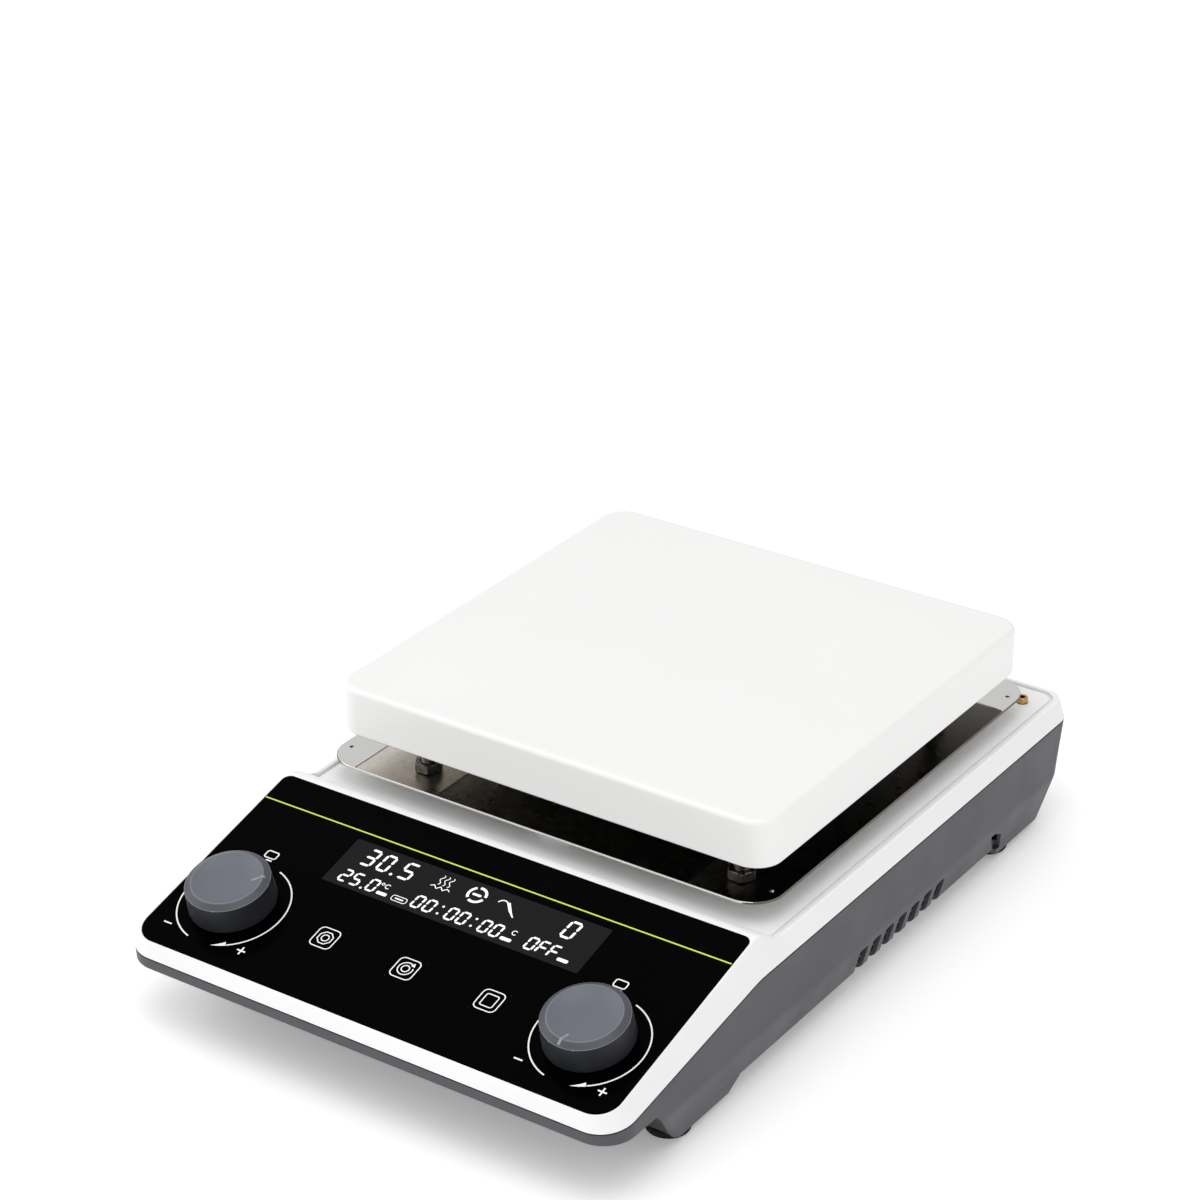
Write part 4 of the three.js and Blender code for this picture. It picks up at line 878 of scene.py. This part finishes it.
# probe: a bent stem
parts.append(stroke(arc(12.6, 69.3, 2.1, 165, 60, 10) + [(14.4, 70.6)], 0.45, LW0, LW1))
parts.append(film([[(13.6, 70.9), (14.9, 71.3), (17.7, 67.9), (16.9, 67.2)], [(16.95, 67.3), (17.6, 67.9), (19.9, 65.5), (19.6, 65.2)]], LW0, LW1))
piece("lcd_figures", mesh_of(on_panel(join(*parts)), "figures"), M["segment"], weighted=False)

# index line on each knob
for side, s in (("left", -1), ("right", 1)):
    x, v, a = s * KNOB_X, KNOB_V, math.radians(KNOB_TURN[side])
    d, n = Vector((math.cos(a), math.sin(a))), Vector((-math.sin(a), math.cos(a)))
    r0, r1 = (8.75, 14.0) if side == "left" else (9.5, 15.2)
    face = sorted(FACE)
    rows = [(r, float(np.interp(r, [q for q, _ in face], [w for _, w in face]))) for r in sorted([r0, r1] + [q for q, _ in face if r0 < q < r1])]
    verts, faces = [], []
    for r, w in rows:
        for sgn in (-1, 1):
            p = Vector((x, v)) + d * r + n * (0.5 * sgn)
            verts += [(p.x, p.y, w - 0.05), (p.x, p.y, w + 0.035)]
    k = len(rows)
    for i in range(k - 1):
        a0, b0 = i * 4, (i + 1) * 4
        faces += [(a0 + 1, b0 + 1, b0 + 3, a0 + 3), (a0, a0 + 2, b0 + 2, b0), (a0, b0, b0 + 1, a0 + 1), (a0 + 2, a0 + 3, b0 + 3, b0 + 2)]
    faces += [(0, 1, 3, 2), ((k - 1) * 4, (k - 1) * 4 + 2, (k - 1) * 4 + 3, (k - 1) * 4 + 1)]
    piece(f"knob_{side}_index", mesh_of(on_panel((verts, faces)), "index"), M["mark"], body=f"{side}_knob", weighted=False)

# ------------------------------------------------------------------ feet, rear fittings
for name, x, y in FEET:
    prof = [(0, 0), (6.7, 0), (7.4, 0.08), (7.9, 0.35), (8.2, 0.8), (8.3, 1.4), (8.3, 2.6), (8.2, 2.95), (7.9, 3.2), (7.4, 3.2), (7.4, 8.3), (7.1, 8.6), (0, 8.6)]
    piece(f"{name}_rubber", lathe(prof, 56, x, y), M["rubber"], replaces=[name])

# probe socket as a turned fitting with three pins
ring_prof = [(4.7, REAR_FACE + 2.2), (7.6, REAR_FACE + 2.2), (8.2, REAR_FACE + 1.95), (8.4, REAR_FACE + 1.5), (8.4, REAR_FACE + 0.35), (6.0, REAR_FACE + 0.3), (6.0, 147), (0, 147), (0, 150.5), (4.7, 150.5), (4.7, REAR_FACE + 2.2)]
sock = mesh_of(moved(lathe(ring_prof[:-1] + [ring_prof[0]], 56, PROBE_X, -REAR_Z), REAR_TURN), "probe")
pins = join(*[moved(lathe([(0, 149), (0.6, 149), (0.6, 155.6), (0.35, 156), (0, 156)], 16, PROBE_X + dx, -(REAR_Z + dz)), REAR_TURN) for dx, dz in ((-2.2, 0), (2.2, 0), (0, -2.4))])
sock = cut(sock, pins, "UNION")
piece("probe_socket_turned", sock, M["zinc"], replaces=["probe_socket"], angle=30)

# ------------------------------------------------------------------ carried-over CAD nodes: finish, eased edges
slot_of = {s["node"]: s["material_slot"] for s in frame["record"]["subparts"]} if frame["record"].get("subparts") else {}
for n, o in NODES.items():
    if o.hide_render:
        continue
    finish = M[CAD_FINISH[slot_of[n]]] if n in slot_of else M["zinc"]
    o.data.materials.clear()
    o.data.materials.append(finish)
    for f in o.data.polygons:
        f.use_smooth = False
    if n not in ("display_board", "main_board", "lcd_module", "heating_element", "insulation_pad"):
        b = o.modifiers.new("edge", "BEVEL")
        b.width, b.segments, b.limit_method, b.angle_limit = 0.00022, 2, "ANGLE", math.radians(38)
        b.use_clamp_overlap = True

# marks on the rocker: a bar and a ring
rock = Matrix.Translation((SWITCH_X, 155.5, REAR_Z)) @ Matrix.Rotation(math.radians(-7), 4, "X") @ Matrix.Translation((-SWITCH_X, -155.5, -REAR_Z))


def rear_stroke(points, t, closed=False):
    """A film on the rocker's face: points are (x, z offset), following the dished face."""
    left, right = path(points, t, closed)
    n = len(left)

    def face_y(z):
        q = abs(z)
        return 160.2 + (0.3 * q / 4.2 if q < 4.2 else 0.3 + 0.9 * (q - 4.2) / 3.7)
    verts = []
    for l, r in zip(left, right):
        for p in (l, r):
            y = face_y(p.y)
            verts += [(SWITCH_X + p.x, y - 0.03, REAR_Z + p.y), (SWITCH_X + p.x, y + 0.05, REAR_Z + p.y)]
    faces = []
    for i in range(n if closed else n - 1):
        j = (i + 1) % n
        a, b = i * 4, j * 4
        faces += [(a, b, b + 1, a + 1), (a + 2, a + 3, b + 3, b + 2), (a + 1, b + 1, b + 3, a + 3), (a, a + 2, b + 2, b)]
    if not closed:
        faces += [(0, 1, 3, 2), ((n - 1) * 4, (n - 1) * 4 + 2, (n - 1) * 4 + 3, (n - 1) * 4 + 1)]
    return verts, faces


marks = join(moved(rear_stroke([(0, 2.6), (0, 3.6), (0, 4.2), (0, 5.0), (0, 5.8)], 0.5), rock), moved(rear_stroke(arc(0, -4.6, 1.3, 0, 345, 23), 0.45, closed=True), rock))
piece("rocker_marks", mesh_of(marks, "marks"), M["ink"], body="rocker", weighted=False)

# ------------------------------------------------------------------ floor and light
fl = bpy.data.materials.new("floor")
fl.use_nodes = True
b = fl.node_tree.nodes["Principled BSDF"]
b.inputs["Base Color"].default_value = (0.97, 0.97, 0.97, 1)
b.inputs["Roughness"].default_value = 0.9
b.inputs["Specular IOR Level"].default_value = 0.1
b.inputs["Emission Color"].default_value = (1, 1, 1, 1)
b.inputs["Emission Strength"].default_value = 0.21
me = bpy.data.meshes.new("floor")
me.from_pydata([(-30, -30, 0), (30, -30, 0), (30, 30, 0), (-30, 30, 0)], [], [(0, 1, 2, 3)])
floor = bpy.data.objects.new("floor", me)
me.materials.append(fl)
COLL.objects.link(floor)

world = bpy.data.worlds.new("studio")
bpy.context.scene.world = world
world.use_nodes = True
world.node_tree.nodes["Background"].inputs["Color"].default_value = (1, 1, 1, 1)
world.node_tree.nodes["Background"].inputs["Strength"].default_value = 0.7


def area(name, place, target, size, power, sy=None):
    d = bpy.data.lights.new(name, "AREA")
    d.energy, d.shape, d.size, d.size_y = power, "RECTANGLE", size, sy or size
    o = bpy.data.objects.new(name, d)
    o.location = place
    o.rotation_mode = "QUATERNION"
    o.rotation_quaternion = (Vector(target) - Vector(place)).to_track_quat("-Z", "Y")
    COLL.objects.link(o)
    return o


area("overhead", (0.4, -0.5, 1.9), (0, 0, 0.05), 1.4, 12.5)
area("left_soft", (-1.75, -0.75, 1.25), (0, 0, 0.05), 1.5, 10)
area("front_soft", (-0.3, -1.9, 1.0), (0, 0, 0.05), 1.5, 3)

scene = bpy.context.scene
scene.view_settings.view_transform = "Standard"
scene.view_settings.look = "None"
scene.view_settings.exposure = 0.0
scene.view_settings.gamma = 1.0
